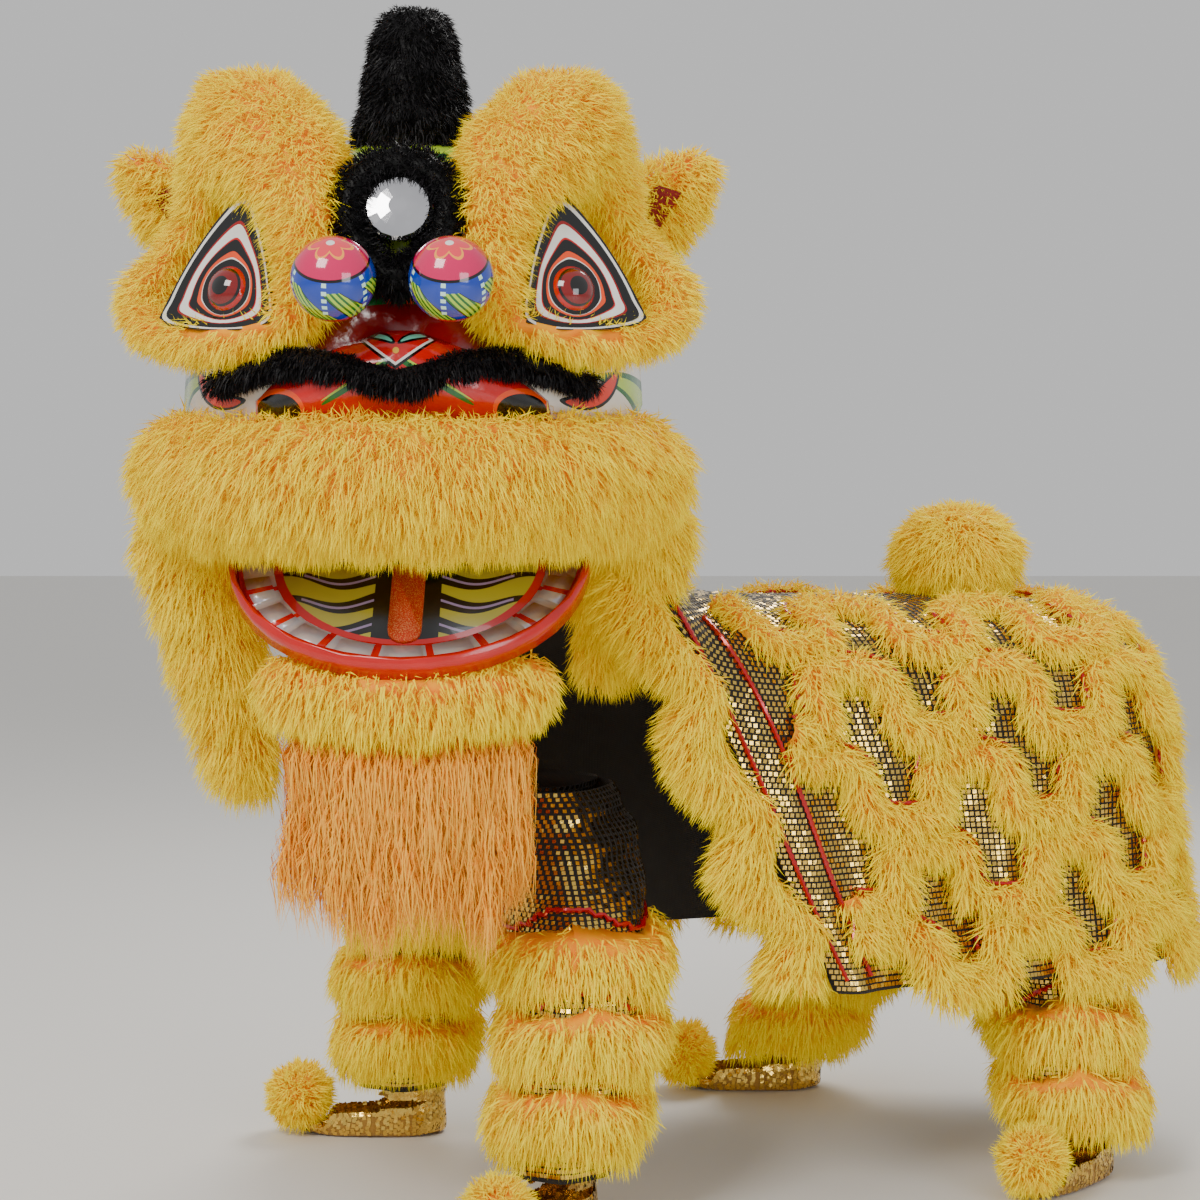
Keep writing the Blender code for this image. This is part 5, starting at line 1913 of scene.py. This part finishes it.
def squash_tail(place: Vector) -> Vector:
    """Settle the tail's pompom on the back."""
    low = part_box("tail_pompom")[0].z
    return Vector((place.x, place.y, low + (place.z - low) * 0.74))


def shape_horn(place: Vector) -> Vector:
    """Shorten the horn a little and spread its foot."""
    spread = 1.16 - 0.9 * max(0.0, place.z - 0.52)
    return Vector((place.x * spread, place.y * spread, 0.50 + (place.z - 0.50) * 0.92))


def lean_cheek(side: int) -> Callable[[Vector], Vector]:
    """Change that widens a cheek's hanging fur and leans its foot inward.

    Args:
        side: -1 on the left of the picture, 1 on the right.

    Returns:
        Function from a place to a place.
    """
    low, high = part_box("cheek_fur_" + ("left" if side < 0 else "right"))
    middle = (low + high) / 2

    def change(place: Vector) -> Vector:
        down = (high.z - place.z) / (high.z - low.z)
        flat = middle.x + (place.x - middle.x) * (1.45 - 0.35 * down) - side * 0.055 * down ** 1.5
        return Vector((flat, middle.y + (place.y - middle.y) * 1.2, place.z + 0.07 * down))
    return change


def roll_mesh(name: str, rows: list[list[Vector]]) -> bpy.types.Mesh:
    """Closed roll through rings of places, with its faces outward.

    Args:
        name: the mesh's name.
        rows: the rings.

    Returns:
        The mesh.
    """
    mesh = sheet_mesh(name, rows, True)
    face = mesh.polygons[len(mesh.polygons) // 2]
    ring = rows[(len(mesh.polygons) // 2) // len(rows[0])]
    middle = sum(ring, Vector()) / len(ring)
    if face.normal.dot(Vector(face.center) - middle) < 0:
        mesh.flip_normals()
    return mesh


def edge_form() -> bpy.types.Mesh:
    """Scalloped roll of fur along the near front edge of the drape.

    Returns:
        The form.
    """
    drape = Drape()
    rows = []
    for index in range(64):
        v = 0.16 + 0.80 * index / 63
        lobe = abs(math.sin(math.pi * 3.5 * index / 63))
        centre = drape.point(0.0, v, 0.006) - ALONG * (0.004 + 0.050 * lobe)
        reach = 0.020 + 0.010 * lobe
        rows.append([centre + (ALONG * math.cos(turn) + NEAR * math.sin(turn) * 0.7) * reach
                     for turn in (2 * math.pi * step / 10 for step in range(10))])
    return roll_mesh("edge_form", rows)


def collar_form() -> bpy.types.Mesh:
    """Fur roll from the top of the near front edge over the ridge and down the far edge.

    Returns:
        The form.
    """
    drape = Drape()
    rows = []
    for index in range(72):
        at = -0.17 + 1.05 * index / 71
        lobe = abs(math.sin(math.pi * 6.0 * index / 71))
        centre = drape.point(0.0 if at < 0 else 1.0, abs(at), 0.010) - ALONG * (0.004 + 0.022 * lobe)
        out = (centre - body_point(0.12, 0.0, -0.45)).normalized()
        reach = 0.017 + 0.007 * lobe
        rows.append([centre + (ALONG * math.cos(turn) + out * math.sin(turn)) * reach
                     for turn in (2 * math.pi * step / 10 for step in range(10))])
    return roll_mesh("collar_form", rows)


def fur_table() -> list[Fur]:
    """Every fur form of the costume.

    Returns:
        The forms, in the order that they are grown.
    """
    furs = [
        Fur("muzzle_roll", 36000, 0.034, 0.0022, (0, -0.3, -0.7), (0, -0.002, -0.012), 0.026, seed=2,
            form=reshaped("muzzle_roll", lower_roll)),
        Fur("horn", 12000, 0.015, 0.0018, (0, 0, -0.2), (0, 0, -0.008), 0.014,
            Finish.BLACK_FUR, "black_fur", form=reshaped("horn", shape_horn)),
        Fur("mirror_fur_ring", 5000, 0.017, 0.0022, (0, -0.3, 0), (0, 0, -0.004), 0.012,
            Finish.BLACK_FUR, "black_fur"),
        Fur("moustache", 9000, 0.013, 0.0018, (0, -0.3, -0.3), (0, 0, -0.006), 0.012,
            Finish.BLACK_FUR, "black_fur", form=thinned("moustache", 0.62)),
        Fur("chin_fur", 6000, 0.030, 0.0030, (0, -0.3, -0.9), (0, 0, -0.014), body=JAW_BODY, seed=4),
        Fur("beard", 17000, 0.095, 0.0022, (0, -0.2, -5.0), (0, 0, -0.006), 0.012, Finish.BEARD,
            "beard_hair", JAW_BODY, 5),
        Fur("edge_fur", 11000, 0.036, 0.0026, (-0.4, -0.3, -0.8), (-0.004, 0, -0.012), seed=6,
            form=edge_form()),
        Fur("edge_fur", 12000, 0.034, 0.0026, (-0.2, 0, -0.5), (0, 0, -0.012), seed=36,
            form=collar_form(), stands=False),
        Fur("tail_pompom", 11000, 0.032, 0.0026, (0, 0, -0.2), (0, 0, -0.014), seed=7,
            form=reshaped("tail_pompom", squash_tail))]
    for side, sign in (("left", -1), ("right", 1)):
        furs += [
            Fur("brow_" + side, 28000, 0.026, 0.0020, (sign * 0.15, -0.25, -0.3), (0, 0, -0.006),
                0.022, seed=8, form=reshaped("brow_" + side, raise_brow)),
            Fur("ear_" + side, 5000, 0.030, 0.0028, (sign * 0.3, -0.1, -0.2), (0, 0, -0.008), seed=9),
            Fur("cheek_fur_" + side, 10000, 0.042, 0.0026, (sign * 0.2, -0.2, -0.9), (0, 0, -0.014),
                seed=10, form=reshaped("cheek_fur_" + side, lean_cheek(sign)))]
        for pair in ("front", "rear"):
            furs.append(Fur(f"shoe_pompom_{pair}_{side}", 3000, 0.022, 0.0026, (0, 0, 0.1),
                            (0, 0, -0.004), 0.014, seed=11))
            for number in range(1, len(TIERS[pair]) + 1):
                furs.append(Fur(f"tier_{pair}_{side}_{number}", 5200, 0.038, 0.0030, (0, 0, -1.3),
                                (0, 0, -0.012), 0.022, seed=12 + number))
    drape = Drape()
    for number in range(1, len(ROW_LEVELS) + 1):
        furs.append(Fur(f"fur_row_{number}", 18000, 0.038 if number == 5 else 0.032, 0.0026,
                        (0, 0, -0.5), (0, 0, -0.012), 0.022, seed=20 + number,
                        form=Scallops(drape, number).form()))
    return furs


def dress_side(side: int) -> None:
    """Finish the eye, nose ball, ear lining and hinge bracket of one side.

    Args:
        side: -1 on the left of the picture, 1 on the right.
    """
    Eye(side).build()
    name = "left" if side < 0 else "right"
    across, along, up = NOSE_BALL
    tilt, spin = (math.radians(angle) for angle in NOSE_BALL_TURN)
    spot = (Matrix.Translation((side * across, along, up)) @ Matrix.Rotation(tilt, 4, "X")
            @ Matrix.Rotation(spin, 4, "Z"))
    paint = ball_material("ball_" + name, spot, NOSE_BALL_RADIUS)
    dress(sphere("nose_ball_" + name + "_paint", spot, NOSE_BALL_RADIUS, paint), HEAD_BODY,
          "ball_paint")
    repaint("nose_ball_" + name, Finish.STEEL)
    lining = smooth_piece("ear_lining_" + name, finish(Finish.EAR_CLOTH), HEAD_BODY, "ear_cloth")
    area = area_of(lining.data) / 2
    repaint("hinge_bracket_" + name, Finish.STEEL)


def dress_cloths() -> None:
    """Lay the cloth, its sequins and its piping."""
    sequins = SequinWorks()
    cloths = Cloths(sequins)
    cloths.back()
    cloths.piping()
    cloths.trousers("front")
    cloths.trousers("rear")
    cloths.shoes()
    sequins.done()


def main() -> None:
    """Dress the whole costume."""
    logging.basicConfig(level=logging.INFO, stream=sys.stdout, format="%(message)s")
    Stage().build()
    furs = FurWorks()
    for fur in fur_table():
        furs.grow(fur)
    furs.done()
    dress_cloths()
    for side in (-1, 1):
        dress_side(side)
    for node, paint, body, slot in (
            ("head_shell", HEAD_PAINTING.build(), HEAD_BODY, "painted_shell"),
            ("snout", SNOUT_PAINTING.build(), HEAD_BODY, "red_lacquer"),
            ("jaw_tray", finish(Finish.RED_PAINT), JAW_BODY, "red_lacquer"),
            ("mouth_lining", lining_material(), JAW_BODY, "mouth_paint"),
            ("tongue", finish(Finish.TONGUE), JAW_BODY, "tongue_glitter"),
            ("teeth", teeth_material(), JAW_BODY, "silver_teeth")):
        smooth_piece(node, paint, body, slot)
    repaint("mirror_disc", Finish.MIRROR)


if __name__ == "__main__":
    main()
